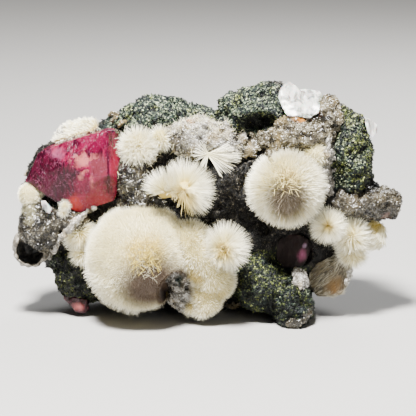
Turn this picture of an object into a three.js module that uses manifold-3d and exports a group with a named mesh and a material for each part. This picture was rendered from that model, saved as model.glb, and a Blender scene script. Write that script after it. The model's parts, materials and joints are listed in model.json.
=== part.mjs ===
// Calcite with mesolite: a piece of basalt cavity wall, 120 mm wide, that stands on its flat cut base.
// Green celadonite-skinned rock carries drusy quartz, pink calcite crystals and white mesolite needle balls.
// Millimetres, +Z up. The show face looks toward -Y, and +X is to the right of someone looking at it.

import * as THREE from "three";
import { ConvexGeometry } from "three/addons/geometries/ConvexGeometry.js";
import { mergeVertices } from "three/addons/utils/BufferGeometryUtils.js";
import Module from "manifold-3d";

// Driving dimensions.
const gap = 0.3; // clear space kept between two pieces that touch
const baseHeight = 0; // the rock is cut off flat here
const cutterSize = 400; // edge of the blocks that cut flat faces, wider than the specimen

// Rim of the rock as seen from the front: x and height, clockwise from the left end.
const rockRim = [
  [-57, 39.5], [-56.5, 42.5], [-54.5, 47], [-52.5, 50], [-49.5, 52.5], [-46, 54], [-41.5, 56.5], [-37, 58],
  [-32.5, 59.5], [-30, 61.5], [-25, 63.5], [-20, 66.5], [-14, 68.5], [-10, 67], [-5, 64.5], [3, 63.5],
  [6.5, 65], [10.5, 68.5], [15.5, 71], [19.5, 72.5], [23, 71], [28, 67], [33.5, 65], [38, 65], [41.5, 64.5],
  [44.5, 64], [47, 61.5], [49.5, 59], [50.5, 55], [52, 51], [51, 45], [52.5, 40], [56, 37.5], [58.5, 34],
  [56.5, 31], [53.5, 26.5], [49.5, 22], [44.5, 17], [43.5, 12.5], [40.5, 8], [35, 5.5], [30.5, 4.5],
  [26.5, -0.5], [17, -1], [7.5, -2.5], [-3.5, -2.5], [-14, -1.5], [-25, -1], [-30, 0.5], [-35, 3],
  [-40, 3.5], [-43.5, 5], [-46, 8.5], [-48.5, 12.5], [-51.5, 15.5], [-55, 18], [-57, 22.5], [-56.5, 27],
  [-55.5, 31.5], [-57, 35],
];

// The rock swells from its rim to the front and back, over rings that shrink toward a line along its middle.
const rockBlock = {
  rimDepth: 6,
  frontSwell: 15,
  backSwell: 25,
  rings: [0.15, 0.4, 0.72],
  middleReach: 26,
  middleHeight: 36,
  rough: 1.7,
  grain: 9,
  depthShake: 1.5, // how much rougher it is in depth than in outline
  shakeShift: [0, 31, 88], // where the roughness of x, depth and height is read, so that they differ
  steepSpare: 1.4, // how much more than the gap the front and back grow, for their steep places
};

// Flats broken off the back, each by a point on it and the way that it looks.
const rockFlats = [
  { through: [0, 28.5, 40], facing: [0.08, 1, 0.06] },
  { through: [-31, 25, 40], facing: [-0.5, 0.85, 0.1] },
  { through: [33, 24, 36], facing: [0.5, 0.85, -0.1] },
  { through: [8, 22, 64], facing: [0.15, 0.6, 0.78] },
  { through: [-24, 20, 58], facing: [-0.3, 0.5, 0.8] },
  { through: [8, 26, 9], facing: [0.1, 0.8, -0.58] },
  { through: [-44, 16, 14], facing: [-0.6, 0.6, -0.52] },
  { through: [42, 14, 14], facing: [0.6, 0.5, -0.6] },
];

// Domes and lobes of the rock, each a lump with its centre, half sizes and number of broken flats. A square
// of 2 is an ellipsoid, less is pointed and more is boxy. From the top: left and right green domes, right
// flank, green lobe at the bottom with its toe, left green foot, and the heel that the rock stands on.
const rockLumps = [
  { at: [-15, 2, 57.5], size: [15, 10, 9.8], square: 1.8, chips: 3, detail: 1, seed: 13 },
  { at: [13.5, 1, 61], size: [11.5, 11, 9.6], square: 2.1, chips: 3, detail: 2, seed: 14 },
  { at: [44.8, 1, 49.5], size: [7, 12, 13], square: 2.4, chips: 6, detail: 1, seed: 17 },
  { at: [19.4, -5, 11], size: [11.4, 12, 9.8], square: 2.1, chips: 4, detail: 2, seed: 19 },
  { at: [26.4, -12, 5.6], size: [7, 9, 7.4], chips: 3, detail: 1, seed: 20 },
  { at: [-38.5, 0, 14.5], size: [9, 9.8, 10.4], chips: 4, detail: 1, seed: 21 },
  { at: [0, 17.5, 9], size: [30, 11, 12], square: 3, chips: 5, detail: 1, seed: 12 },
];
const lumpRough = 1.3;
const lumpGrain = 6;

// Hollows in the show face, as ellipsoids taken out of the rock.
const rockHollows = [
  { at: [15.5, -17, 32.5], size: [8, 13, 9] }, // between the needle balls
  { at: [27, -16, 21.6], size: [9, 13, 8] }, // pocket of the second calcite
  { at: [14, -12, 56.2], size: [7.5, 9, 4] }, // undercut below the right dome
  { at: [-8, -15, 35], size: [7, 10, 5] }, // below the fan
];

// Drusy quartz crusts: bumpy lumps that stand out of the rock by a millimetre or two.
const druses = {
  druse_left: [
    { at: [-49.5, -3.5, 28.5], size: [8.8, 9.5, 8], detail: 1, seed: 31 },
    { at: [-41, -7, 31], size: [6.5, 6, 4.2], detail: 1, seed: 131 },
  ],
  druse_middle: [
    { at: [-22, -5.5, 44], size: [6.4, 9, 9.5], detail: 1, seed: 32 },
    { at: [-20, -8, 37], size: [8, 7, 5], detail: 1, seed: 132 },
  ],
  druse_upper_right: [
    { at: [27.5, -3, 57], size: [12.4, 9.4, 6.8], detail: 1, seed: 33 },
    { at: [37, -1, 60], size: [5, 7.5, 7.4], detail: 1, seed: 133 },
  ],
  druse_right: [
    { at: [45.5, -3, 36], size: [10, 9, 5], detail: 1, seed: 34 },
    { at: [54.6, -0.5, 34.8], size: [5.6, 6.5, 4.2], detail: 1, seed: 134 },
  ],
  druse_top_band: [
    { at: [-4.5, -4, 56.6], size: [10, 8.6, 6], detail: 1, seed: 35 },
    { at: [6, -4, 55.4], size: [6, 7.4, 5.8], detail: 1, seed: 135 },
  ],
  druse_lower_knob: [
    { at: [-8.6, -10, 14.8], size: [4.6, 8, 4.8], detail: 1, seed: 36 },
    { at: [-7, -9, 8.4], size: [4.8, 7, 4.6], detail: 1, seed: 136 },
  ],
  druse_pocket_rim: [{ at: [28.4, -10, 11.2], size: [2.6, 6.4, 6], detail: 1, seed: 37 }],
};
const druseRough = 1.6;
const druseGrain = 3.2;

// Flat-faced crystals and chips, by their corners. One with two lists is two blocks grown together.
const crystals = {
  calcite_large: {
    look: "calcite",
    blocks: [
      [
        [-55.6, -3.5, 42.4], [-51.4, -5, 51.4], [-42.5, -9, 55.8], [-30, -13, 60], [-26.9, -8, 59.2],
        [-24.6, -8, 48.2], [-24.8, -8, 42.4], [-26.4, -12.5, 43], [-28.6, -15, 47], [-28.2, -11.5, 38],
        [-40.2, -10.5, 33.2], [-44.7, -10.5, 37.6], [-49.2, -9, 39.4], [-41.6, -14.5, 50], [-34, -15.8, 44.6],
        [-52, 4, 44], [-49, 5, 52], [-30, 5, 58], [-27, 5, 42], [-40, 5, 36],
      ],
    ],
  },
  calcite_pocket: {
    look: "calcite",
    blocks: [
      [
        [19.4, -5, 26.4], [27, -6, 27], [32.6, -7, 24.4], [32.4, -8.5, 20.4], [30, -9.4, 16.2],
        [23.6, -8.4, 16.4], [20, -6.5, 21], [27.4, -9.6, 21.4], [20, 4, 26], [32, 4, 25], [32, 4, 16],
        [21, 4, 16],
      ],
    ],
  },
  calcite_foot: {
    look: "calcite",
    blocks: [
      [
        [-44.6, -4, 9], [-44.2, -4.5, 5.4], [-42, -6, 4], [-40.4, -6.4, 1.8], [-38.4, -6.6, 1.2],
        [-36.9, -6, 1.4], [-36.2, -5.5, 2.8], [-36.8, -5.6, 5.6], [-39.6, -6.4, 7], [-44, 2, 8.6],
        [-36.6, 2, 6], [-38, 2, 2], [-41, 2, 3],
      ],
    ],
  },
  milky_chip_top: {
    look: "milky",
    blocks: [
      [
        [25.3, -0.5, 73.2], [24, -1.5, 72.4], [22.4, -3, 70.8], [21.9, -4.5, 68.4], [22.8, -6.5, 66],
        [24.8, -8.5, 63.2], [28.4, -9, 63.2], [29, -2, 70.4], [27.4, -0.5, 71.2], [24.6, 5, 71],
        [29, 5, 68], [24, 5, 64],
      ],
      [
        [27.2, -1, 70.8], [30.4, 0, 69.8], [34.8, -0.5, 70.2], [36, -1.5, 68.4], [35.4, -5.5, 66.4],
        [34.6, -7.5, 64.4], [32, -8.5, 62.8], [26.6, -8.8, 62.8], [27, 5, 67], [35.4, 5, 66.4],
        [35, 5, 62], [27, 5, 62],
      ],
    ],
  },
  milky_chip_right: {
    look: "milky",
    blocks: [
      [
        [48.8, -1.5, 61.6], [50.6, -1, 61.2], [52.6, 0, 59.4], [52.7, 0, 57.2], [51.2, -1.5, 55.8],
        [48.6, -3, 58.4], [48.8, 5, 61], [52, 5, 58.6], [50.4, 5, 56],
      ],
    ],
  },
  clear_chip_left: {
    look: "milky",
    blocks: [
      [
        [-50.2, -12.8, 38.2], [-48.8, -13.4, 38.5], [-47, -13.4, 35.6], [-47.4, -13, 34.4],
        [-48.9, -12.8, 35], [-50, -12.6, 36.9], [-49.8, -5, 35.5], [-46.8, -5, 34], [-48.6, -5, 32],
      ],
    ],
  },
  mesolite_block_upper_left: {
    look: "mesolite",
    blocks: [
      [
        [-47.6, 1, 53.4], [-46, 1, 57], [-41.8, 1, 60], [-38.4, 1, 61], [-33.4, 1, 60.8], [-32.4, 0.5, 58.4],
        [-34, -5, 56.5], [-40, -6, 54.5], [-46, -4, 52.6], [-44, 8, 57.4], [-34, 8, 59], [-34, 8, 53],
        [-46, 8, 52], [-45, -3, 49], [-33, -5, 54],
      ],
    ],
  },
};

// Needle balls, each with its centre, radius to the needle tips and how far its spines stand out. Felted ones
// have no spines.
const needleBalls = {
  large: { at: [-20.2, -13, 20.9], radius: 17.4, spine: 2, detail: 2, seed: 41 },
  neck: { at: [-4.5, -14, 27], radius: 7.2, detail: 1 },
  middle: { at: [5.8, -17, 25], radius: 9.8, spine: 1.8, detail: 1, seed: 43 },
  lowerLobe: { at: [2.6, -14, 12.4], radius: 7.8, spine: 1.5, detail: 1, seed: 44 },
  toe: { at: [-0.2, -15.5, 4.9], radius: 5.4, detail: 1 },
  right: { at: [24.5, -13, 42.3], radius: 13.4, spine: 2.4, detail: 2, seed: 46 },
  rightSmall: { at: [33, -9, 52], radius: 5.4, detail: 1 },
  lowerRight: { at: [37.3, -11.5, 30], radius: 7.4, spine: 2, detail: 1, seed: 48 },
  lowerRightSide: { at: [44.8, -7.5, 25.4], radius: 7, detail: 1 },
  fan: { at: [-4.6, -14, 42.6], radius: 10.4, spine: 1.8, detail: 1, seed: 50 },
  fanSide: { at: [-11.8, -14.5, 43], radius: 7.8, spine: 1.8, detail: 1, seed: 51 },
  puffUpper: { at: [-20.5, -9.5, 54.2], radius: 7.5, detail: 1 },
  puffUpperSide: { at: [-14.5, -8.5, 55.4], radius: 5.4, detail: 1 },
  puffLeft: { at: [-38.4, -9.5, 27.5], radius: 6.8, detail: 1 },
  puffLeftLow: { at: [-37.6, -9.5, 21.5], radius: 5.6, detail: 1 },
  tuftLeft: { at: [-54.2, -4, 38.4], radius: 4.8, detail: 1 },
  tuftLeftLow: { at: [-53.8, -4, 32.8], radius: 3.8, detail: 1 },
  tuftSmall: { at: [-42.8, -13.2, 36.2], radius: 2.9, spine: 0.6, detail: 0, seed: 57 },
};

// Broken sides of the needle balls, as ellipsoids taken out of them.
const ballBreaks = {
  mesolite_cluster_large: { at: [-7.8, -22, 11], size: [6.6, 14, 8] },
  mesolite_fan: { at: [-12, -20, 35.6], size: [7, 12, 4.6] },
};

// Needle balls that grew into each other are one solid.
const mesoliteGroups = {
  mesolite_cluster_large: ["large", "neck", "middle", "lowerLobe", "toe"],
  mesolite_ball_right: ["right", "rightSmall"],
  mesolite_ball_lower_right: ["lowerRight", "lowerRightSide"],
  mesolite_fan: ["fan", "fanSide"],
  mesolite_puff_upper: ["puffUpper", "puffUpperSide"],
  mesolite_puff_left: ["puffLeft", "puffLeftLow"],
  mesolite_tuft_left: ["tuftLeft", "tuftLeftLow"],
  mesolite_tuft_small: ["tuftSmall"],
};

// Broken mesolite with its fibres packed side by side, as ribbed lumps.
const fibrousBlocks = {
  mesolite_block_lower_right: { at: [38, -4.5, 12.6], size: [7.6, 7.8, 7], square: 2.2, detail: 1, seed: 62 },
  mesolite_block_right: { at: [51.4, -2.5, 25.6], size: [4.6, 5.4, 4.8], square: 2, detail: 1, seed: 63 },
};
const fibrousRough = 0.8;
const fibrousGrain = 2.4;

// The open spray: long separate needles out of one root.
const spray = {
  at: [1.4, -15, 53.2],
  reach: 9.4,
  needleWidth: 1,
  count: 16,
  rootRadius: 2,
  spread: [1.25, 0.75], // how far needles lean to the sides, and up and down
  forward: [0.15, 0.55], // least lean to the front, and how much it varies
  shortest: 0.75, // share of the reach
  uneven: 0.6, // how far a needle strays from an even turn
  seed: 71,
};

// The hollow bubble at the lower left, a thin pale shell that opens forward.
const bubble = { at: [-54.2, -3, 21.6], size: [5.6, 7, 6.2], wall: 1.2, mouthShift: -2.8, detail: 1 };

// Looks of each kind of piece: colour, roughness and metalness.
const looks = {
  rock: { color: 0x3d4a3f, roughness: 0.9, metalness: 0 },
  druse: { color: 0xa59a8a, roughness: 0.5, metalness: 0 },
  druseWhite: { color: 0xd8d4cb, roughness: 0.45, metalness: 0 },
  calcite: { color: 0xb03a52, roughness: 0.2, metalness: 0 },
  milky: { color: 0xe2dfd8, roughness: 0.3, metalness: 0 },
  mesolite: { color: 0xeee6d8, roughness: 0.55, metalness: 0 },
};

const wasm = await Module();
wasm.setup();

// Repeatable random numbers from 0 to 1.
function randomFrom(seed) {
  let state = seed * 2654435761;
  return () => {
    state = (state + 0x6d2b79f5) | 0;
    let mixed = Math.imul(state ^ (state >>> 15), 1 | state);
    mixed = (mixed + Math.imul(mixed ^ (mixed >>> 7), 61 | mixed)) ^ mixed;
    return ((mixed ^ (mixed >>> 14)) >>> 0) / 4294967296;
  };
}

function randomDirection(random) {
  const height = 2 * random() - 1;
  const turn = 2 * Math.PI * random();
  const flat = Math.sqrt(1 - height * height);
  return new THREE.Vector3(flat * Math.cos(turn), flat * Math.sin(turn), height);
}

// A fixed value from -1 to 1 for every whole-numbered place.
function latticeValue(i, j, k) {
  const mixed = Math.sin(i * 127.1 + j * 311.7 + k * 74.7) * 43758.5453;
  return 2 * (mixed - Math.floor(mixed)) - 1;
}

// Smooth noise from -1 to 1, with features about one grain across.
function noiseAt(point, grain) {
  const [x, y, z] = [point.x / grain, point.y / grain, point.z / grain];
  const [i, j, k] = [Math.floor(x), Math.floor(y), Math.floor(z)];
  const ease = (t) => t * t * (3 - 2 * t);
  const [u, v, w] = [ease(x - i), ease(y - j), ease(z - k)];
  const mix = THREE.MathUtils.lerp;
  const row = (dj, dk) => mix(latticeValue(i, j + dj, k + dk), latticeValue(i + 1, j + dj, k + dk), u);
  return mix(mix(row(0, 0), row(1, 0), v), mix(row(0, 1), row(1, 1), v), w);
}

// A closed geometry with only positions, its shared corners merged.
function weld(geometry) {
  geometry.deleteAttribute("normal");
  geometry.deleteAttribute("uv");
  return mergeVertices(geometry, 1e-4);
}

function solidFrom(geometry) {
  const welded = weld(geometry);
  return new wasm.Manifold(
    new wasm.Mesh({
      numProp: 3,
      vertProperties: new Float32Array(welded.getAttribute("position").array),
      triVerts: new Uint32Array(welded.index.array),
    }),
  );
}

const joined = (solids) => solids.reduce((all, next) => all.add(next));

// The biggest body of a solid, without the crumbs that a cut leaves.
function mainBody(solid) {
  return solid.decompose().reduce((most, next) => (next.volume() > most.volume() ? next : most));
}

// Everything outside one flat face: a large block that lies on it, moved outward by grow.
function beyondFace({ through, facing }, grow) {
  const outward = new THREE.Vector3(...facing).normalize();
  const geometry = new THREE.BoxGeometry(cutterSize, cutterSize, cutterSize);
  geometry.translate(0, cutterSize / 2 + grow, 0);
  geometry.applyQuaternion(new THREE.Quaternion().setFromUnitVectors(THREE.Object3D.DEFAULT_UP, outward));
  return solidFrom(geometry.translate(...through));
}

// Where a place of the rim has moved to, a share of the way in toward the middle line.
function blockOutline([x, height], share, grow = 0) {
  const { middleReach, middleHeight } = rockBlock;
  const middle = THREE.MathUtils.clamp(x, -middleReach, middleReach);
  const inward = new THREE.Vector2(middle - x, middleHeight - height);
  const place = new THREE.Vector2(x, height).addScaledVector(inward, share);
  return place.addScaledVector(inward.normalize(), -grow * Math.max(0, 1 - 3 * share));
}

// One point of the rock's main block, on its front or back as the swell is negative or positive.
function blockPoint(rimPlace, share, swell, grow) {
  const { rimDepth, rough, grain, depthShake, shakeShift, steepSpare } = rockBlock;
  const rise = Math.sqrt(1 - (1 - share) ** 2);
  const still = blockOutline(rimPlace, share);
  const from = new THREE.Vector3(still.x, rimDepth + swell * rise, still.y);
  const outlineShake = Math.min(1, 2 * share); // none on the rim itself
  const [shakeX, shakeY, shakeZ] = shakeShift.map((shift) => noiseAt(from.clone().addScalar(shift), grain));
  const shake = new THREE.Vector3(outlineShake * shakeX, depthShake * shakeY, outlineShake * shakeZ);
  const place = blockOutline(rimPlace, share, grow);
  const depth = rimDepth + (swell + Math.sign(swell) * steepSpare * grow) * rise;
  return new THREE.Vector3(place.x, depth, place.y).addScaledVector(shake, rough);
}

// The rock's main block, closed in the middle of its front and back.
function mainBlock(grow) {
  const { rings, frontSwell, backSwell } = rockBlock;
  const layers = [
    ...rings.toReversed().map((share) => [share, backSwell]),
    ...[0, ...rings].map((share) => [share, -frontSwell]),
  ];
  const ring = ([share, swell]) => rockRim.map((place) => blockPoint(place, share, swell, grow));
  const points = layers.flatMap(ring);
  const around = rockRim.length;
  const faces = [];
  for (let layer = 0; layer + 1 < layers.length; layer++) {
    for (let n = 0; n < around; n++) {
      const [a, b] = [layer * around + n, layer * around + ((n + 1) % around)];
      faces.push(b, a, b + around, b + around, a, a + around);
    }
  }
  const ends = [
    { first: 0, swell: backSwell, order: [1, 0, 2] },
    { first: (layers.length - 1) * around, swell: -frontSwell, order: [0, 1, 2] },
  ];
  for (const { first, swell, order } of ends) {
    const innermost = rockRim.map((place) => blockPoint(place, rings.at(-1), swell, 0));
    const contour = innermost.map(({ x, z }) => new THREE.Vector2(x, z));
    for (const corners of THREE.ShapeUtils.triangulateShape(contour, [])) {
      faces.push(...order.map((n) => first + corners[n]));
    }
  }
  return solidFrom(new THREE.BufferGeometry().setFromPoints(points).setIndex(faces));
}

// A stone-like lump: a squared ellipsoid with random flats broken off and a rough skin.
function lump({ at, size, square = 2.3, chips = 0, detail = 2, seed = 1 }, rough, grain, grow = 0) {
  const [nearestChip, chipSpread] = [0.78, 0.17]; // how far out flats lie, as shares of the half sizes
  const random = randomFrom(seed);
  const flats = Array.from({ length: chips }, () => ({
    normal: randomDirection(random),
    reach: nearestChip + chipSpread * random(),
  }));
  const geometry = weld(new THREE.IcosahedronGeometry(1, detail));
  const position = geometry.getAttribute("position");
  const centre = new THREE.Vector3(...at);
  const halfSizes = new THREE.Vector3(...size);
  for (let i = 0; i < position.count; i++) {
    const direction = new THREE.Vector3().fromBufferAttribute(position, i).normalize();
    const powers = direction.toArray().map((part) => Math.abs(part) ** square);
    let reach = (powers[0] + powers[1] + powers[2]) ** (-1 / square);
    for (const flat of flats) {
      const facing = flat.normal.dot(direction);
      if (facing > 0) reach = Math.min(reach, flat.reach / facing);
    }
    const point = direction.multiplyScalar(reach).multiply(halfSizes);
    const outward = point.clone().normalize();
    const bump = rough * noiseAt(point.clone().add(centre), grain);
    point.addScaledVector(outward, grow + bump).add(centre);
    position.setXYZ(i, point.x, point.y, point.z);
  }
  return solidFrom(geometry);
}

// A ball whose faces rise to spines, apart from those at its hidden back. A felted one has none.
function spinyBall({ at, radius, spine = 0, detail, seed }) {
  const backFacing = 0.3; // faces that look further back than this stay flat
  const unevenness = 0.5; // by how much of their height the spines differ
  const random = randomFrom(seed);
  const sphere = weld(new THREE.IcosahedronGeometry(radius - spine, detail));
  const corners = [];
  for (let i = 0; i < sphere.getAttribute("position").count; i++) {
    corners.push(new THREE.Vector3().fromBufferAttribute(sphere.getAttribute("position"), i));
  }
  const faces = [];
  for (let f = 0; f < sphere.index.count; f += 3) {
    const [a, b, c] = [0, 1, 2].map((n) => sphere.index.getX(f + n));
    const tip = corners[a].clone().add(corners[b]).add(corners[c]);
    tip.setLength(radius - unevenness * spine * random());
    if (spine === 0 || tip.y > backFacing * radius) {
      faces.push(a, b, c);
      continue;
    }
    const t = corners.push(tip) - 1;
    faces.push(a, b, t, b, c, t, c, a, t);
  }
  const centre = new THREE.Vector3(...at);
  const geometry = new THREE.BufferGeometry().setFromPoints(corners.map((corner) => corner.add(centre)));
  return solidFrom(geometry.setIndex(faces));
}

// The room that a needle ball takes, with the gap around it.
function ballRoom({ at, radius }) {
  const flatSphereSwell = 1.03; // a faceted sphere lies a little inside the true one
  const geometry = new THREE.IcosahedronGeometry((radius + gap) * flatSphereSwell, 2);
  return solidFrom(geometry.translate(...at));
}

// A crystal: the tightest flat-faced solid round its corners, swollen about its middle by grow.
function crystalBlock(corners, grow) {
  const points = corners.map((corner) => new THREE.Vector3(...corner));
  const middle = points.reduce((sum, p) => sum.add(p), new THREE.Vector3()).divideScalar(points.length);
  const outward = points.map((p) => p.clone().sub(middle).setLength(grow));
  return solidFrom(new ConvexGeometry(points.map((p, n) => p.add(outward[n]))));
}

const crystal = (blocks, grow = 0) => joined(blocks.map((corners) => crystalBlock(corners, grow)));

// One pointed needle from a root along a direction.
function needle(root, direction, length, width) {
  const geometry = new THREE.ConeGeometry(width / 2, length, 3);
  geometry.translate(0, length / 2, 0);
  geometry.applyQuaternion(new THREE.Quaternion().setFromUnitVectors(THREE.Object3D.DEFAULT_UP, direction));
  return solidFrom(geometry.translate(...root));
}

// Needles that fan out to the front and sides of one small root.
function needleSpray({ at, reach, needleWidth, count, rootRadius, spread, forward, shortest, uneven, seed }) {
  const random = randomFrom(seed);
  const needles = [solidFrom(new THREE.IcosahedronGeometry(rootRadius, 0).translate(...at))];
  for (let n = 0; n < count; n++) {
    const turn = (2 * Math.PI * (n + uneven * random())) / count;
    const lean = -forward[0] - forward[1] * random();
    const direction = new THREE.Vector3(spread[0] * Math.cos(turn), lean, spread[1] * Math.sin(turn));
    const length = reach * (shortest + (1 - shortest) * random());
    needles.push(needle(at, direction.normalize(), length, needleWidth));
  }
  return joined(needles);
}

// The thin-walled bubble: an outer lump with its inside taken out through the front.
function hollowBubble({ at, size, wall, mouthShift, detail }) {
  const outer = lump({ at, size, detail }, 0, 1);
  const inside = size.map((half) => half - wall);
  const forward = [at[0], at[1] + mouthShift, at[2]];
  return outer.subtract(lump({ at: forward, size: inside, detail }, 0, 1));
}

// Everything below the base, as one block.
const ground = solidFrom(
  new THREE.BoxGeometry(cutterSize, cutterSize, cutterSize).translate(0, 0, baseHeight - cutterSize / 2),
);

// The whole rock, or the room that it takes when grown by the gap.
function rockBody(grow = 0) {
  const lumps = rockLumps.map((spec) => lump(spec, lumpRough, lumpGrain, grow));
  const hollows = rockHollows.map((spec) => lump({ ...spec, detail: 1 }, lumpRough / 2, lumpGrain, -grow));
  const outside = [...rockFlats.map((flat) => beyondFace(flat, grow)), ground];
  return mainBody(joined([mainBlock(grow), ...lumps]).subtract(joined(hollows)).subtract(joined(outside)));
}

const group = new THREE.Group();
group.name = "calcite_with_mesolite";

function addPiece(name, solid, look) {
  const { numProp, vertProperties, triVerts, numVert } = solid.getMesh();
  const positions = new Float32Array(numVert * 3);
  for (let i = 0; i < numVert; i++) {
    positions.set(vertProperties.subarray(i * numProp, i * numProp + 3), i * 3);
  }
  const geometry = new THREE.BufferGeometry();
  geometry.setAttribute("position", new THREE.BufferAttribute(positions, 3));
  geometry.setIndex(new THREE.BufferAttribute(triVerts, 1));
  geometry.computeVertexNormals();
  const mesh = new THREE.Mesh(geometry, new THREE.MeshStandardMaterial(look));
  mesh.name = name;
  group.add(mesh);
}

// Pieces are added in the order they grew. Each is cut back from the room that the earlier ones take.
let taken = rockBody(gap);

function grow(name, solid, look, room) {
  addPiece(name, mainBody(solid.subtract(taken).subtract(ground)), look);
  taken = taken.add(room);
}

addPiece("basalt_rock", rockBody(), looks.rock);

for (const [name, specs] of Object.entries(druses)) {
  const look = name === "druse_top_band" ? looks.druseWhite : looks.druse;
  const crust = (swell) => joined(specs.map((spec) => lump(spec, druseRough, druseGrain, swell)));
  grow(name, crust(0), look, crust(gap));
}
grow("chalcedony_bubble", hollowBubble(bubble), looks.druse, lump(bubble, 0, 1, gap));
for (const [name, { look, blocks }] of Object.entries(crystals)) {
  grow(name, crystal(blocks), looks[look], crystal(blocks, 2 * gap));
}
for (const [name, spec] of Object.entries(fibrousBlocks)) {
  const room = lump(spec, fibrousRough, fibrousGrain, gap);
  grow(name, lump(spec, fibrousRough, fibrousGrain), looks.mesolite, room);
}
for (const [name, members] of Object.entries(mesoliteGroups)) {
  const specs = members.map((member) => needleBalls[member]);
  const balls = joined(specs.map(spinyBall));
  const broken = name in ballBreaks ? balls.subtract(lump(ballBreaks[name], 0, 1)) : balls;
  grow(name, broken, looks.mesolite, joined(specs.map(ballRoom)));
}
grow("mesolite_spray", needleSpray(spray), looks.mesolite, ballRoom({ ...spray, radius: spray.reach }));

export default group;
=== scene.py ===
# Calcite with mesolite on basalt: the looks of the specimen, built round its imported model.
import json
import math

import bmesh
import bpy
import numpy as np
from mathutils import Matrix, Vector, noise
from mathutils.bvhtree import BVHTree


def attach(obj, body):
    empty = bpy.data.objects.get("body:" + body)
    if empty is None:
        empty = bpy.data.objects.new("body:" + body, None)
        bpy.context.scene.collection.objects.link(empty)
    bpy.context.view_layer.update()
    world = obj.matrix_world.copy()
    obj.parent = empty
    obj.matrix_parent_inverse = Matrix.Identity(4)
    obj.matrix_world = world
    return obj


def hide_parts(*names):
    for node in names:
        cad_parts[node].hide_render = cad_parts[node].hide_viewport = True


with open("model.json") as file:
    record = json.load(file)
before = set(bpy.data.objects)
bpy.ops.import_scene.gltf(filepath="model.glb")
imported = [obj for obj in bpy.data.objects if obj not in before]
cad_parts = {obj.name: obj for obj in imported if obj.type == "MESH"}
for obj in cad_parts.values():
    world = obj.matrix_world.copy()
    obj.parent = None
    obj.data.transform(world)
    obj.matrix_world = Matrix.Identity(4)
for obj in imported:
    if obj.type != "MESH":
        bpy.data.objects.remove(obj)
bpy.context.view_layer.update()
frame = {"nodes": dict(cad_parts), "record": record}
mm = 0.001

# Camera, floor and light
shot = {
    "elevation": 12,  # degrees above the horizontal
    "lens": 200,
    "sensor": 36,
    "lookAt": (0.6, -8, 35),  # mm
    "frameWidth": 127.3,  # mm across the picture at lookAt
}
lamps = {  # place in mm, size in mm, watts
    "keyLamp": {"at": (-90, -270, 680), "size": 150, "power": 42, "color": (1, 0.98, 0.95)},
    "fillLamp": {"at": (300, -620, 260), "size": 420, "power": 0.9, "color": (0.97, 0.98, 1)},
    "rimLamp": {"at": (160, 460, 420), "size": 300, "power": 4, "color": (1, 1, 1)},
}
floorLook = {
    "size": 6000, "color": (0.36, 0.355, 0.345, 1), "roughness": 0.8,
    "worldColor": (0.9, 0.92, 0.95, 1), "worldPower": 0.06,
}


def linkNew(name, data):
    obj = bpy.data.objects.new(name, data)
    bpy.context.collection.objects.link(obj)
    return obj


def aimAt(obj, place, target):
    obj.location = place
    obj.rotation_euler = (Vector(target) - Vector(place)).to_track_quat("-Z", "Y").to_euler()


def addCamera():
    data = bpy.data.cameras.new("camera")
    data.lens = shot["lens"]
    data.sensor_width = shot["sensor"]
    data.clip_start = 0.01
    camera = linkNew("camera", data)
    distance = shot["frameWidth"] * shot["lens"] / shot["sensor"]
    tilt = math.radians(shot["elevation"])
    target = Vector(shot["lookAt"])
    place = target + distance * Vector((0, -math.cos(tilt), math.sin(tilt)))
    aimAt(camera, place * mm, target * mm)
    bpy.context.scene.camera = camera


def addLamps():
    for name, spec in lamps.items():
        data = bpy.data.lights.new(name, "AREA")
        data.energy = spec["power"]
        data.size = spec["size"] * mm
        data.color = spec["color"]
        aimAt(linkNew(name, data), Vector(spec["at"]) * mm, Vector(shot["lookAt"]) * mm)


def addFloor():
    half = floorLook["size"] / 2 * mm
    corners = [(x * half, y * half, 0) for x, y in ((-1, -1), (1, -1), (1, 1), (-1, 1))]
    mesh = bpy.data.meshes.new("floor")
    mesh.from_pydata(corners, [], [(0, 1, 2, 3)])
    values = {"Base Color": floorLook["color"], "Roughness": floorLook["roughness"]}
    mesh.materials.append(newMaterial("paleFloor", values)[0])
    linkNew("floor", mesh)
    world = bpy.data.worlds.new("studio")
    world.use_nodes = True
    background = world.node_tree.nodes["Background"].inputs
    background["Color"].default_value = floorLook["worldColor"]
    background["Strength"].default_value = floorLook["worldPower"]
    bpy.context.scene.world = world


# Node helpers, for materials and Geometry Nodes alike
def addNode(tree, kind, inputs=None, **settings):
    node = tree.nodes.new(kind)
    for key, value in settings.items():
        setattr(node, key, value)
    for key, value in (inputs or {}).items():
        if isinstance(value, bpy.types.NodeSocket):
            tree.links.new(value, node.inputs[key])
        else:
            node.inputs[key].default_value = value
    return node


def math2(tree, operation, first, second):
    return addNode(tree, "ShaderNodeMath", {0: first, 1: second}, operation=operation).outputs[0]


def plus(tree, first, second):
    return math2(tree, "ADD", first, second)


def minus(tree, first, second):
    return math2(tree, "SUBTRACT", first, second)


def times(tree, first, second):
    return math2(tree, "MULTIPLY", first, second)


def vectorMath(tree, operation, first, second=None, scale=None):
    inputs = {0: first}
    if second is not None:
        inputs[1] = second
    if scale is not None:
        inputs["Scale"] = scale
    made = addNode(tree, "ShaderNodeVectorMath", inputs, operation=operation)
    return made.outputs["Vector"]


def objectPlace(tree):
    return addNode(tree, "ShaderNodeTexCoord").outputs["Object"]


def mapped(tree, place, way="POINT", **values):
    return addNode(tree, "ShaderNodeMapping", {"Vector": place, **values}, vector_type=way).outputs[0]


# Sizes of noise and cells are in mm
def noiseValue(tree, size, detail=3, rough=0.55, vector=None, distortion=0.0):
    inputs = {"Scale": 1 / (size * mm), "Detail": detail, "Roughness": rough, "Distortion": distortion}
    inputs["Vector"] = vector or objectPlace(tree)
    return addNode(tree, "ShaderNodeTexNoise", inputs).outputs["Fac"]


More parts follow.
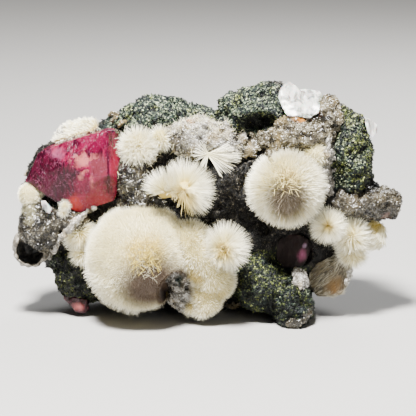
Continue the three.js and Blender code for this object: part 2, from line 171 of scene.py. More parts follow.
def cellValue(tree, size, vector=None):  # one random value for each cell
    inputs = {"Scale": 1 / (size * mm), "Vector": vector or objectPlace(tree)}
    cells = addNode(tree, "ShaderNodeTexVoronoi", inputs)
    return addNode(tree, "ShaderNodeSeparateColor", {0: cells.outputs["Color"]}).outputs[0]


def cellEdge(tree, size, vector):  # the distance to the border between cells, in cell sizes
    inputs = {"Scale": 1 / (size * mm), "Vector": vector}
    cells = addNode(tree, "ShaderNodeTexVoronoi", inputs, feature="DISTANCE_TO_EDGE")
    return cells.outputs["Distance"]


def ramp(tree, value, stops):
    node = addNode(tree, "ShaderNodeValToRGB", {0: value})
    elements = node.color_ramp.elements
    while len(elements) < len(stops):
        elements.new(1)
    for element, (place, color) in zip(elements, stops):
        element.position = place
        element.color = (*color, 1)
    return node.outputs["Color"]


def blendColor(tree, factor, first, second, way="MIX"):
    node = addNode(tree, "ShaderNodeMix", data_type="RGBA", blend_type=way)
    for index, value in ((0, factor), (6, first), (7, second)):
        if isinstance(value, bpy.types.NodeSocket):
            tree.links.new(value, node.inputs[index])
        elif index:
            node.inputs[index].default_value = (*value, 1)
        else:
            node.inputs[index].default_value = value
    return node.outputs[2]


def multiplied(tree, base, other):
    return blendColor(tree, 1.0, base, other, "MULTIPLY")


def stored(tree, name):
    return addNode(tree, "ShaderNodeAttribute", attribute_name=name).outputs["Fac"]


def newMaterial(name, values):
    made = bpy.data.materials.new(name)
    made.use_nodes = True
    shader = made.node_tree.nodes["Principled BSDF"]
    for key, value in values.items():
        shader.inputs[key].default_value = value
    return made, made.node_tree, shader


def addBump(tree, shader, height, strength, distance):
    bump = addNode(tree, "ShaderNodeBump",
                   {"Strength": strength, "Distance": distance * mm, "Height": height})
    tree.links.new(bump.outputs["Normal"], shader.inputs["Normal"])


# Materials
black = (0, 0, 0)
white = (1, 1, 1)
celadonite = {
    "green": [(0, (0.001, 0.002, 0.002)), (0.38, (0.006, 0.01, 0.006)), (0.5, (0.026, 0.036, 0.01)),
              (0.62, (0.075, 0.095, 0.016)), (0.76, (0.2, 0.23, 0.05)), (1, (0.5, 0.52, 0.26))],
    "teal": [(0, (0.001, 0.002, 0.003)), (0.38, (0.005, 0.01, 0.01)), (0.5, (0.018, 0.034, 0.026)),
             (0.62, (0.05, 0.072, 0.046)), (0.76, (0.15, 0.19, 0.105)), (1, (0.54, 0.58, 0.4))],
    "matrix": [(0, (0.001, 0.001, 0.001)), (0.42, (0.004, 0.0035, 0.003)), (0.56, (0.014, 0.012, 0.009)),
               (0.7, (0.028, 0.024, 0.018)), (0.84, (0.07, 0.062, 0.05)), (1, (0.28, 0.26, 0.22))],
    "basalt": [(0, (0.008, 0.0075, 0.007)), (0.5, (0.024, 0.0225, 0.021)), (0.8, (0.06, 0.057, 0.052)),
               (1, (0.16, 0.155, 0.14))],
    "darkestPaintedHeight": 0, "lightestPaintedHeight": 75,  # heights in mm at which the skin is painted darkest and lightest, as shade low down and light high up
    # Painted light and shade, added to the tone there, for skin and for grains
    "paintedHeightLight": {False: (-2.0, -1.72), True: (-1.96, -1.68)},
}


def paintHollowShade(tree, shader, base, deepestShade):  # painted shade: a colour that is darker where the surface lies deep
    hollowShade = ramp(tree, stored(tree, "hollowShade"), [(0, white), (1, deepestShade)])
    tree.links.new(multiplied(tree, base, hollowShade), shader.inputs["Base Color"])


def celadoniteMaterial(name, perGrain):
    made, tree, shader = newMaterial(name, {"Roughness": 0.36, "Specular IOR Level": 0.22})
    tone = stored(tree, "tone") if perGrain else cellValue(tree, 0.6)
    fleck = noiseValue(tree, 1.1, 6, 0.9, distortion=0.9)
    height = addNode(tree, "ShaderNodeSeparateXYZ", {0: objectPlace(tree)}).outputs["Z"]
    # painted shade and light: darker low down, lighter high up, as if lit from above
    low, high = celadonite["paintedHeightLight"][perGrain]
    paintedHeightLight = addNode(tree, "ShaderNodeMapRange", {
        "Value": height, "From Min": celadonite["darkestPaintedHeight"] * mm, "From Max": celadonite["lightestPaintedHeight"] * mm,
        "To Min": low, "To Max": high}).outputs[0]
    pick = plus(tree, plus(tree, times(tree, tone, 1.1), times(tree, fleck, 3.0)), paintedHeightLight)
    shades = {label: ramp(tree, pick, celadonite[label]) for label in ("green", "teal", "matrix", "basalt")}
    spread = times(tree, minus(tree, noiseValue(tree, 6, 4, 0.7), 0.5), 2.2)
    zone = ramp(tree, plus(tree, stored(tree, "moss"), spread), [(0.42, black), (0.62, white)])
    skin = blendColor(tree, zone, shades["teal"], shades["green"])
    bare = blendColor(tree, stored(tree, "back"), shades["matrix"], shades["basalt"])
    base = blendColor(tree, stored(tree, "skin"), bare, skin)
    paintHollowShade(tree, shader, base, (0.05, 0.05, 0.05))
    addBump(tree, shader, noiseValue(tree, 0.5, 3, 0.7), 0.9, 0.5)
    return made


def druseMaterial(name, stops, stain, zones=()):
    made, tree, shader = newMaterial(name, {"Roughness": 0.22, "IOR": 1.54, "Transmission Weight": 0.15})
    clouds = times(tree, noiseValue(tree, 3.2, 6, 0.9), 2.1)
    pick = minus(tree, plus(tree, times(tree, stored(tree, "tone"), 0.36), clouds), 0.78)
    patch = ramp(tree, noiseValue(tree, 6, 3), [(0.52, black), (0.66, white)])
    base = blendColor(tree, times(tree, patch, 0.45), ramp(tree, pick, stops), stain)
    paintHollowShade(tree, shader, tinted(tree, base, zones), (0.06, 0.055, 0.045))
    addBump(tree, shader, noiseValue(tree, 0.45, 2, 0.6), 0.6, 0.25)
    return made


def mesoliteMaterial(name, stops, gold, shade, lines=None):  # lines: the turn that sets Z along the fibres
    made, tree, shader = newMaterial(name, {"Roughness": 0.6, "IOR": 1.5, "Sheen Weight": 0.1})
    along = stored(tree, "along")
    if lines:
        turned = mapped(tree, objectPlace(tree), "TEXTURE", Rotation=lines, Scale=(1, 1, 12))
        grain = noiseValue(tree, 0.55, 4, 0.7, turned)
        along = plus(tree, along, times(tree, minus(tree, grain, 0.5), 1.6))
        addBump(tree, shader, grain, 0.7, 0.4)
    base = ramp(tree, along, stops)
    base = blendColor(tree, times(tree, stored(tree, "warm"), 0.9), base, gold)
    # shade: painted dark brown, partly the needles' own brown, partly painted shade on a ball's lower side
    # and in the dent; the tips keep less of it
    tips = ramp(tree, stored(tree, "along"), [(0.5, white), (1, (0.88, 0.88, 0.88))])
    base = blendColor(tree, times(tree, stored(tree, "shade"), tips), base, shade)
    base = blendColor(tree, stored(tree, "moss"), base, (0.4, 0.4, 0.29))
    tint = ramp(tree, stored(tree, "tone"),
                [(0, (0.55, 0.51, 0.38)), (0.25, (0.96, 0.95, 0.9)), (1, white)])
    tree.links.new(multiplied(tree, base, tint), shader.inputs["Base Color"])
    return made


calciteLook = {
    "solid": {"Roughness": 0.24, "IOR": 1.5, "Transmission Weight": 0.15, "Subsurface Weight": 0.2,
              "Subsurface Scale": 0.002, "Subsurface Radius": (1.0, 0.25, 0.3), "Coat Weight": 0.05,
              "Specular IOR Level": 0.15},
    "dark": (0.03, 0.0013, 0.009), "body": (0.085, 0.002, 0.017), "bright": (0.2, 0.007, 0.038),
    "wine": (0.04, 0.0018, 0.01), "mauve": (0.24, 0.065, 0.125), "magenta": (0.13, 0.0008, 0.025),
    # pale: painted reflection and highlight, off inner cracks and faces
    "pale": (0.42, 0.115, 0.11), "glow": (0.34, 0.022, 0.02), "ember": (0.22, 0.008, 0.028),
    # Next: the pocket's violet-white spot, a painted glint, and its dark brown-grey, mostly painted shade
    # of the pocket it lies in
    "paintedGlint": (0.3, 0.2, 0.28), "pocketShade": (0.022, 0.0155, 0.0145), "dusk": (0.035, 0.013, 0.014),
    "brown": (0.13, 0.022, 0.034),
    "absorption": (0.9, 0.12, 0.25, 1), "density": 90,
    "slant": 0.6, "facetSize": 4.2,  # radians and mm, of the cells that stand for facets and cracks
}


def placeMask(tree, at, size, soft, warp, jag=0.0):  # 1 in an uneven place, given in mm, and 0 outside it
    coordinates = objectPlace(tree)
    inputs = {"Vector": coordinates, "Scale": 1 / (2.2 * mm), "Detail": 4.0}
    uneven = addNode(tree, "ShaderNodeTexNoise", inputs).outputs["Color"]
    shift = vectorMath(tree, "SCALE", vectorMath(tree, "SUBTRACT", uneven, (0.5, 0.5, 0.5)),
                       scale=warp * mm)
    moved = vectorMath(tree, "ADD", coordinates, shift)
    inner = mapped(tree, moved, "TEXTURE", Location=Vector(at) * mm, Scale=Vector(size) * mm)
    far = addNode(tree, "ShaderNodeVectorMath", {0: inner}, operation="LENGTH").outputs["Value"]
    steps = minus(tree, cellValue(tree, 1.6, moved), 0.5)
    return ramp(tree, plus(tree, far, times(tree, steps, jag)), [(1 - soft, white), (1, black)])


# Zones: colour, centre and half sizes in mm, softness, unevenness, jaggedness
def tinted(tree, base, zones):
    for color, *place in zones:
        base = blendColor(tree, placeMask(tree, *place), base, color)
    return base


def calciteMaterial(name, zones, darker=0.0, veined=0.45, **changed):
    made, tree, shader = newMaterial(name, {**calciteLook["solid"], **changed})
    upright = mapped(tree, objectPlace(tree), Scale=(1, 1, 0.22))  # stretches the streaks upright
    slanted = mapped(tree, objectPlace(tree), Rotation=(0, calciteLook["slant"], 0), Scale=(1, 0.4, 0.55))
    streaks = noiseValue(tree, 1.3, 5, 0.7, upright, 0.6)
    clouds = times(tree, noiseValue(tree, 6, 5, 0.7), 0.8)
    facets = minus(tree, cellValue(tree, calciteLook["facetSize"], slanted), 0.5)
    pick = plus(tree, plus(tree, streaks, clouds), times(tree, facets, 0.3))
    pick = minus(tree, pick, 0.36 + darker)
    stops = ((0.36, "dark"), (0.53, "body"), (0.7, "bright"))
    base = ramp(tree, pick, [(place, calciteLook[color]) for place, color in stops])
    base = tinted(tree, base, [(calciteLook[color], *place) for color, *place in zones])
    base = multiplied(tree, base, ramp(tree, pick, [(0.38, (0.62, 0.55, 0.58)), (0.52, white)]))
    cracks = ramp(tree, cellEdge(tree, calciteLook["facetSize"], slanted), [(0, white), (0.035, black)])
    webs = ramp(tree, noiseValue(tree, 1.3, 4, 0.65, distortion=1.6), [(0.56, black), (0.62, white)])
    veins = times(tree, math2(tree, "MAXIMUM", times(tree, cracks, 0.3), webs), veined)
    tree.links.new(blendColor(tree, veins, base, calciteLook["mauve"]), shader.inputs["Base Color"])
    relief = plus(tree, noiseValue(tree, 0.9, 4, 0.65, upright), times(tree, facets, 0.8))
    addBump(tree, shader, relief, 0.6, 0.5)
    inside = addNode(tree, "ShaderNodeVolumeAbsorption", {
        "Color": calciteLook["absorption"], "Density": calciteLook["density"]})
    tree.links.new(inside.outputs[0], tree.nodes["Material Output"].inputs["Volume"])
    return made


quartzShades = [(0.36, 0.14), (0.46, 0.5), (0.57, 1.0)]  # place in the streaks, share of the colour


def quartzMaterial(name, color, clear, rough, zones=()):
    made, tree, shader = newMaterial(name, {"Roughness": rough, "IOR": 1.54, "Transmission Weight": clear,
                                            "Subsurface Weight": 0.3, "Subsurface Scale": 0.001})
    leaning = mapped(tree, objectPlace(tree), Rotation=(0, -0.5, 0), Scale=(1, 1, 0.3))
    streaks = noiseValue(tree, 2.2, 4, 0.65, leaning, 0.8)
    shade = ramp(tree, streaks, [(place, tuple(share * c for c in color)) for place, share in quartzShades])
    tree.links.new(tinted(tree, shade, zones), shader.inputs["Base Color"])
    addBump(tree, shader, noiseValue(tree, 1.2, 3, 0.6), 0.15, 0.3)
    return made


def shellMaterial(name):
    made, tree, shader = newMaterial(name, {"Roughness": 0.45, "IOR": 1.54})
    outside = ramp(tree, noiseValue(tree, 1.8, 4, 0.65), [
        (0.34, (0.035, 0.03, 0.024)), (0.52, (0.16, 0.14, 0.11)), (0.75, (0.55, 0.52, 0.46))])
    # inside: near black, painted shade in the bubble's hollow below a height
    inside = ramp(tree, noiseValue(tree, 1.2, 3, 0.6),
                  [(0.4, (0.008, 0.008, 0.008)), (0.75, (0.06, 0.055, 0.045))])
    tree.links.new(blendColor(tree, stored(tree, "inner"), outside, inside), shader.inputs["Base Color"])
    addBump(tree, shader, noiseValue(tree, 0.7, 3, 0.6), 0.5, 0.3)
    return made


looks = {
    "calcite": calciteMaterial("pinkCalcite", [
        ("wine", (-50, -12, 43), (11, 14, 11), 0.45, 5), ("mauve", (-48, -14, 53), (6.5, 8, 2.8), 0.5, 4),
        ("magenta", (-34, -14, 56.5), (6, 8, 3.4), 0.45, 2.5),
        ("bright", (-34.5, -14, 43.5), (6, 8, 5), 0.8, 4), ("brown", (-32.4, -15, 49), (3.2, 6, 5), 0.4, 3),
        # painted reflections: pale peach patches off inner cracks
        ("pale", (-37.2, -15, 50.8), (3.8, 6, 3), 0.75, 2.4, 0.9),
        ("pale", (-34.4, -15, 44.8), (1, 6, 2.4), 0.8, 1.4, 0.8),
        ("pale", (-37.8, -15, 46.4), (1, 6, 1.8), 0.8, 2, 0.8),
        ("ember", (-26.6, -10, 48), (3.2, 9, 9), 0.35, 2),
        ("wine", (-29.6, -14, 48), (0.55, 6, 10), 0.5, 1.2), ("ember", (-35, -13, 38), (8, 8, 4), 0.6, 4),
        ("glow", (-40, -13, 36.5), (2.6, 8, 4.2), 0.5, 3),
    ]),
    "calcite_dark": calciteMaterial("darkCalcite", [
        # painted shade: the pocket crystal dark brown-grey, mostly the shade of its pocket, with a pink
        # patch and a painted glint at its right
        ("pocketShade", (24.6, -9, 23), (11, 14, 14), 0.25, 2.5), ("mauve", (29.6, -8, 20), (2, 6, 2.6), 0.9, 2),
        ("paintedGlint", (30.2, -8, 23), (0.9, 4, 1.1), 0.8, 1.5)], 0.1, 0.0, **{
            "Roughness": 0.6, "Coat Weight": 0.0, "Specular IOR Level": 0.15, "Transmission Weight": 0.0}),
    "calcite_foot": calciteMaterial("footCalcite", [
        # the pale spot is a painted highlight
        ("dusk", (-40.5, -6, 5), (8, 9, 8), 0.3, 3), ("pale", (-39.4, -7, 3.4), (2.4, 5, 1.6), 0.9, 2)],
        0.04),
    "milky_quartz": quartzMaterial("milkyChip", (0.72, 0.71, 0.66), 0.3, 0.3, [
        ((0.3, 0.29, 0.36), (31.8, -8, 69), (2.4, 8, 2), 0.9, 3, 0.6),
        ((0.12, 0.15, 0.08), (35.2, -8, 68), (1.4, 8, 3), 0.8, 2, 0.8),
        ((0.03, 0.04, 0.03), (31, -8, 63.6), (4, 8, 0.8), 0.8, 2, 0.8)]),
    "white_quartz": quartzMaterial("whiteChip", (0.95, 0.92, 0.88), 0.05, 0.3),
    "clear_quartz": quartzMaterial("clearChip", (0.97, 0.98, 0.98), 0.35, 0.08),
    "chalcedony": shellMaterial("bubbleShell"),
    "celadonite": celadoniteMaterial("celadoniteSkin", False),
    "celadoniteGrain": celadoniteMaterial("celadoniteGrain", True),
    "druse_grey": druseMaterial("greyDruse", [
        (0, (0.008, 0.007, 0.006)), (0.4, (0.042, 0.036, 0.026)), (0.65, (0.15, 0.134, 0.096)),
        (1, (0.78, 0.76, 0.68)),
    ], (0.11, 0.085, 0.042), [
        ((0.2, 0.185, 0.11), (-54, -8, 33.6), (2.8, 10, 4.4), 0.5, 2, 0.4),
        ((0.14, 0.05, 0.04), (55.4, -8, 31), (2, 8, 2.4), 0.8, 2, 0.6),
        # a black spot painted as the shade in a small pit
        ((0.002, 0.002, 0.002), (50.8, -8, 33), (1.8, 8, 1.5), 0.6, 1.5)]),
    "druse_tan": druseMaterial("tanDruse", [
        (0, (0.02, 0.014, 0.009)), (0.35, (0.11, 0.093, 0.06)), (0.65, (0.34, 0.31, 0.23)),
        (1, (0.85, 0.83, 0.76)),
    ], (0.27, 0.195, 0.07), [
        ((0.32, 0.13, 0.02), (28.6, -9, 62.6), (3.4, 9, 0.9), 0.8, 1.5, 0.5)]),
    "druse_white": druseMaterial("whiteDruse", [
        (0, (0.05, 0.045, 0.035)), (0.35, (0.3, 0.28, 0.24)), (0.6, (0.7, 0.68, 0.64)),
        (1, (0.95, 0.94, 0.92)),
    ], (0.45, 0.34, 0.16), [
        ((0.34, 0.15, 0.03), (-5, -11, 62.4), (2.6, 9, 1), 0.8, 1.5, 0.5),
        ((0.1, 0.085, 0.06), (-12, -11, 57), (9, 9, 3.5), 0.8, 3, 0.6),
        ((0.012, 0.022, 0.018), (-8.2, -20, 14.2), (2.2, 10, 3.2), 0.7, 2.4, 0.6)]),
    "mesoliteBroken": mesoliteMaterial("brokenMesolite", [
        (0, (0.03, 0.024, 0.015)), (0.2, (0.15, 0.125, 0.08)), (0.5, (0.36, 0.32, 0.22)),
        (0.9, (0.7, 0.67, 0.55)),
    ], (0.2, 0.1, 0.01), (0.1, 0.08, 0.06), (0, 0.9, 0)),
    "mesolite": mesoliteMaterial("mesoliteNeedles", [
        (0, (0.7, 0.5, 0.13)), (0.12, (0.82, 0.7, 0.28)), (0.34, (0.9, 0.84, 0.52)),
        (0.7, (0.98, 0.955, 0.81)),
    ], (0.72, 0.54, 0.04), (0.09, 0.05, 0.026)),
}


# Mesh helpers
def plainCopy(obj, name):  # the object with its modifiers worked out, as a new plain mesh
    graph = bpy.context.evaluated_depsgraph_get()
    mesh = bpy.data.meshes.new_from_object(obj.evaluated_get(graph), preserve_all_data_layers=True,
                                           depsgraph=graph)
    mesh.name = name
    made = linkNew(name, mesh)
    bpy.data.objects.remove(obj)
    return made


def nodeCopy(node, name):
    mesh = frame["nodes"][node].data.copy()
    mesh.materials.clear()
    form = bmesh.new()
    form.from_mesh(mesh)
    bmesh.ops.remove_doubles(form, verts=form.verts, dist=1e-6)
    form.to_mesh(mesh)
    form.free()
    return linkNew(name, mesh)


def linkForm(name, form):
    mesh = bpy.data.meshes.new(name)
    form.to_mesh(mesh)
    form.free()
    return linkNew(name, mesh)


def addLump(form, at, radius, finer):
    shift = Matrix.Translation(Vector(at) * mm)
    bmesh.ops.create_icosphere(form, subdivisions=finer, radius=radius * mm, matrix=shift)


def addVoxels(obj, size):
    step = obj.modifiers.new("voxels", "REMESH")
    step.mode = "VOXEL"
    step.voxel_size = size * mm


def remeshed(obj, name, voxel):
    addVoxels(obj, voxel)
    return plainCopy(obj, name)


def bedOf(node, voxel):  # the node's solid with an even mesh that can be roughened and grown on
    return remeshed(nodeCopy(node, node + "_draft"), node + "_bed", voxel)


def setAttribute(mesh, name, values):  # one value for each point, or the same for all
    layer = mesh.attributes.get(name) or mesh.attributes.new(name, "FLOAT", "POINT")
    layer.data.foreach_set("value", np.full(len(mesh.vertices), values, dtype=np.float32))


def readAttribute(mesh, name):
    values = np.zeros(len(mesh.vertices), dtype=np.float32)
    mesh.attributes[name].data.foreach_get("value", values)
    return values


def setWays(mesh, ways):
    layer = mesh.attributes.get("way") or mesh.attributes.new("way", "FLOAT_VECTOR", "POINT")
    layer.data.foreach_set("vector", np.asarray(ways, dtype=np.float32).ravel())


def smoothRange(value, low, high):
    share = min(max((value - low) / (high - low), 0.0), 1.0)
    return share * share * (3 - 2 * share)


def reachOf(place, spot):  # how far out a place lies, in half sizes of the spot
    return math.sqrt(sum(((p - c) / s) ** 2 for p, c, s in zip(place, spot["at"], spot["size"])))


# Moves points along their normals, but not below the floor, and notes how deep they lie, for painted shade
# in the hollows. Layers and ridges are pairs of size and height in mm.
def roughen(mesh, layers, bumps=None, ridges=()):
    places = [v.co / mm for v in mesh.vertices]
    normals = [v.normal.copy() for v in mesh.vertices]
    depths = []
    for vertex, place, normal in zip(mesh.vertices, places, normals):
        shift = sum(height * noise.noise(place / size) for size, height in layers)
        shift += sum(height * (0.35 - 1.6 * abs(noise.noise(place / size))) for size, height in ridges)
        if bumps:
            nearest = noise.voronoi(place / bumps["size"])[0][0]
            shift += bumps["height"] * (0.6 - nearest * nearest * 1.6)
        moved = place + normal * shift
        moved.z = max(moved.z, 0.0)
        vertex.co = moved * mm
        depths.append(shift)
    reach = sum(height for _, height in (*layers, *ridges)) + (bumps["height"] if bumps else 0)
    setAttribute(mesh, "hollowShade", [min(max(-1.6 * d / reach, 0), 1) for d in depths])


# One search tree of all CAD nodes but the named ones, to find what lies against them
def otherSolids(*left):
    points, faces = [], []
    for node, obj in frame["nodes"].items():
        if node in left:
            continue
        start = len(points)
        points.extend(v.co / mm for v in obj.data.vertices)
        faces.extend([start + index for index in polygon.vertices] for polygon in obj.data.polygons)
    return BVHTree.FromPolygons(points, faces)


def openness(mesh, solids, reach):  # 1 where nothing else lies within reach, 0 where something does
    return [0.0 if solids.find_nearest(v.co / mm, reach)[0] is not None else 1.0 for v in mesh.vertices]


def buried(place, solids):  # whether a place, in mm, lies inside one of the solids
    hit, normal, _, _ = solids.find_nearest(place)
    return (place - hit).dot(normal) < 0


def triangleCount(mesh):
    return sum(len(p.vertices) - 2 for p in mesh.polygons)


# Geometry Nodes trees
def startTree(name, values):
    tree = bpy.data.node_groups.new(name, "GeometryNodeTree")

    def addSocket(label, kind, way="INPUT"):
        return tree.interface.new_socket(label, in_out=way, socket_type="NodeSocket" + kind)

    addSocket("Geometry", "Geometry")
    for label, value in {"Density": 1e6, **values}.items():
        addSocket(label, "Float").default_value = value
    for label, kind in (("Seed", "Int"), ("Keep Surface", "Bool"), ("Material", "Material")):
        addSocket(label, kind)
    addSocket("Geometry", "Geometry", "OUTPUT")
    return tree, addNode(tree, "NodeGroupInput").outputs


# Adds the surface if it is kept, and makes all real, with its material
def endTree(tree, given, instances):
    joined = addNode(tree, "GeometryNodeJoinGeometry")
    tree.links.new(given["Geometry"], joined.inputs[0])
    tree.links.new(instances, joined.inputs[0])
    either = {0: given["Keep Surface"], 1: instances, 2: joined.outputs[0]}
    switch = addNode(tree, "GeometryNodeSwitch", either, input_type="GEOMETRY")
    real = addNode(tree, "GeometryNodeRealizeInstances", {0: switch.outputs[0]}).outputs[0]
    position = addNode(tree, "GeometryNodeInputPosition").outputs[0]
    place = addNode(tree, "ShaderNodeSeparateXYZ", {0: position}).outputs
    raised = combined(tree, place[0], place[1], math2(tree, "MAXIMUM", place[2], 0.0))
    above = shifted(tree, real, "Position", raised)
    inputs = {"Geometry": above, "Material": given["Material"]}
    finished = addNode(tree, "GeometryNodeSetMaterial", inputs)
    addNode(tree, "NodeGroupOutput", {0: finished.outputs[0]})


def combined(tree, x, y, z):
    return addNode(tree, "ShaderNodeCombineXYZ", {0: x, 1: y, 2: z}).outputs[0]


def shifted(tree, geometry, way, vector):
    return addNode(tree, "GeometryNodeSetPosition", {"Geometry": geometry, way: vector}).outputs[0]


def turnTo(tree, way):
    return addNode(tree, "FunctionNodeAlignRotationToVector", {"Vector": way}, axis="Z").outputs[0]


def field(tree, name, kind="FLOAT"):
    return addNode(tree, "GeometryNodeInputNamedAttribute", {0: name}, data_type=kind).outputs[0]


def labelled(tree, geometry, name, value, domain):
    inputs = {"Geometry": geometry, "Name": name, "Value": value}
    return addNode(tree, "GeometryNodeStoreNamedAttribute", inputs, data_type="FLOAT",
                   domain=domain).outputs[0]


def coneShape(tree, sides, depth, tip=0.0):
    inputs = {"Vertices": sides, "Radius Top": tip, "Radius Bottom": 1.0, "Depth": depth}
    return addNode(tree, "GeometryNodeMeshCone", inputs, fill_type="NGON").outputs[0]


def randomValue(tree, low, high, seed):
    inputs = {2: low, 3: high, 8: seed}
    return addNode(tree, "FunctionNodeRandomValue", inputs, data_type="FLOAT").outputs[1]


def randomVector(tree, reach, seed):
    inputs = {0: (-reach, -reach, -reach), 1: (reach, reach, reach), 8: seed}
    return addNode(tree, "FunctionNodeRandomValue", inputs, data_type="FLOAT_VECTOR").outputs[0]


def scatteredPoints(tree, given):
    density = times(tree, given["Density"], field(tree, "cover"))
    inputs = {"Mesh": given["Geometry"], "Density": density, "Seed": given["Seed"]}
    return addNode(tree, "GeometryNodeDistributePointsOnFaces", inputs, distribute_method="RANDOM")


def instanced(tree, given, points, shape, rotation, scale):
    inputs = {"Points": points, "Instance": shape, "Rotation": rotation, "Scale": scale}
    placed = addNode(tree, "GeometryNodeInstanceOnPoints", inputs).outputs[0]
    tone = randomValue(tree, 0.0, 1.0, plus(tree, given["Seed"], 11))
    return labelled(tree, placed, "tone", tone, "INSTANCE")


def randomScale(tree, given):
    smallest = minus(tree, 1.0, given["Size Spread"])
    size = times(tree, given["Size"], randomValue(tree, smallest, 1.0, plus(tree, given["Seed"], 3)))
    return combined(tree, size, size, times(tree, size, given["Stretch"]))


def needleTree():  # length, radius, number and direction of the needles are attributes of the surface
    tree, given = startTree("needles", {
        "Length Spread": 0.4, "Tilt": 0.15, "Clump": 0.2, "Clump Size": 2 * mm, "Tip": 0.0,
        "Root Depth": 0.2 * mm})
    spread = scatteredPoints(tree, given)
    position = addNode(tree, "GeometryNodeInputPosition").outputs[0]
    scale = math2(tree, "DIVIDE", 1.0, given["Clump Size"])
    clumps = addNode(tree, "ShaderNodeTexNoise", {"Vector": position, "Scale": scale, "Detail": 1.0})
    lean = vectorMath(tree, "SUBTRACT", clumps.outputs["Color"], (0.5, 0.5, 0.5))
    lean = vectorMath(tree, "SCALE", lean, scale=times(tree, given["Clump"], 2.0))
    stray = vectorMath(tree, "SCALE", randomVector(tree, 1.0, given["Seed"]), scale=given["Tilt"])
    way = vectorMath(tree, "ADD", field(tree, "way", "FLOAT_VECTOR"), lean)
    way = vectorMath(tree, "NORMALIZE", vectorMath(tree, "ADD", way, stray))
    shortest = minus(tree, 1.0, given["Length Spread"])
    length = minus(tree, 1.0, times(tree, given["Clump"], clumps.outputs["Fac"]))
    length = times(tree, length, randomValue(tree, shortest, 1.0, plus(tree, given["Seed"], 5)))
    length = times(tree, length, field(tree, "reach"))
    width = times(tree, field(tree, "thick"), randomValue(tree, 0.6, 1.0, plus(tree, given["Seed"], 7)))
    sink = vectorMath(tree, "SCALE", way, scale=times(tree, given["Root Depth"], -1.0))
    points = shifted(tree, spread.outputs[0], "Offset", sink)
    height = addNode(tree, "ShaderNodeSeparateXYZ", {0: position}).outputs["Z"]
    along = plus(tree, 0.06, times(tree, height, 0.94))
    shape = labelled(tree, coneShape(tree, 3, 1.0, given["Tip"]), "along", along, "POINT")
    size = combined(tree, width, width, length)
    endTree(tree, given, instanced(tree, given, points, shape, turnTo(tree, way), size))
    return tree


def grainTree():
    tree, given = startTree("grains", {"Size": 0.4 * mm, "Size Spread": 0.5, "Stretch": 1.4})
    points = scatteredPoints(tree, given).outputs[0]
    turn = addNode(tree, "FunctionNodeEulerToRotation",
                   {0: randomVector(tree, math.pi, given["Seed"])}).outputs[0]
    flake = coneShape(tree, 4, 1.4)
    endTree(tree, given, instanced(tree, given, points, flake, turn, randomScale(tree, given)))
    return tree


def pointTree():  # short six-sided quartz points that stand on a surface
    tree, given = startTree("quartzPoints",
                            {"Size": 0.4 * mm, "Size Spread": 0.5, "Stretch": 1.5, "Tilt": 0.5})
    spread = scatteredPoints(tree, given)
    stray = vectorMath(tree, "SCALE", randomVector(tree, 1.0, given["Seed"]), scale=given["Tilt"])
    way = vectorMath(tree, "NORMALIZE", vectorMath(tree, "ADD", spread.outputs["Normal"], stray))
    sink = vectorMath(tree, "SCALE", way, scale=times(tree, given["Size"], -0.3))
    points = shifted(tree, spread.outputs[0], "Offset", sink)
    cone = coneShape(tree, 6, 1.0)
    endTree(tree, given, instanced(tree, given, points, cone, turnTo(tree, way), randomScale(tree, given)))
    return tree


trees = {"needles": needleTree(), "grains": grainTree(), "points": pointTree()}


# Runs a tree on the object; keep: with its own surface
def grown(obj, name, tree, look, seed, keep, values):
    modifier = obj.modifiers.new("grow", "NODES")
    modifier.node_group = trees[tree]
    sockets = trees[tree].interface.items_tree
    identifiers = {item.name: item.identifier for item in sockets if item.in_out == "INPUT"}
    for label, value in {**values, "Seed": seed, "Keep Surface": keep, "Material": looks[look]}.items():
        modifier[identifiers[label]] = value
    made = plainCopy(obj, name)
    print(name, triangleCount(made.data), "triangles")
    return made


def slotOf(node):
    return next(entry["material_slot"] for entry in frame["record"]["subparts"] if entry["node"] == node)


def finishPiece(piece, slot, *nodes):
    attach(piece, "root")
    if nodes:
        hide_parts(*nodes)


addCamera()
addFloor()
addLamps()
print("camera, floor and lamps")

# Needle balls. A style gives the share of the radius that is core, how pale the core is, and then for the
# fine felt and for the longer needles how many stand on a square mm of core, how far they reach and their
# radius in mm.
ballStyles = {
    "velvet": {"core": 0.9, "pale": 0.5, "felt": (9.6, 0.85, 0.095), "needles": (4.6, 1.3, 0.06)},
    "lobe": {"core": 0.72, "pale": 0.3, "felt": (9.5, 0.75, 0.11), "needles": (5, 1.0, 0.14)},
    "ball": {"core": 0.72, "pale": 0.45, "felt": (12, 0.72, 0.08), "needles": (6.5, 1.08, 0.14)},
    "open": {"core": 0.24, "pale": 0.1, "felt": (28, 0.5, 0.09), "needles": (46, 1.0, 0.12)},
    "puff": {"core": 0.46, "pale": 0.3, "felt": (11, 0.75, 0.09), "needles": (9, 1.1, 0.12)},
    "tuft": {"core": 0.72, "pale": 0.4, "felt": (18, 0.9, 0.09), "needles": (5, 1.0, 0.1)},
    "downy": {"core": 0.34, "pale": 0.3, "felt": (40, 0.8, 0.05), "needles": (44, 1.1, 0.06)},
}
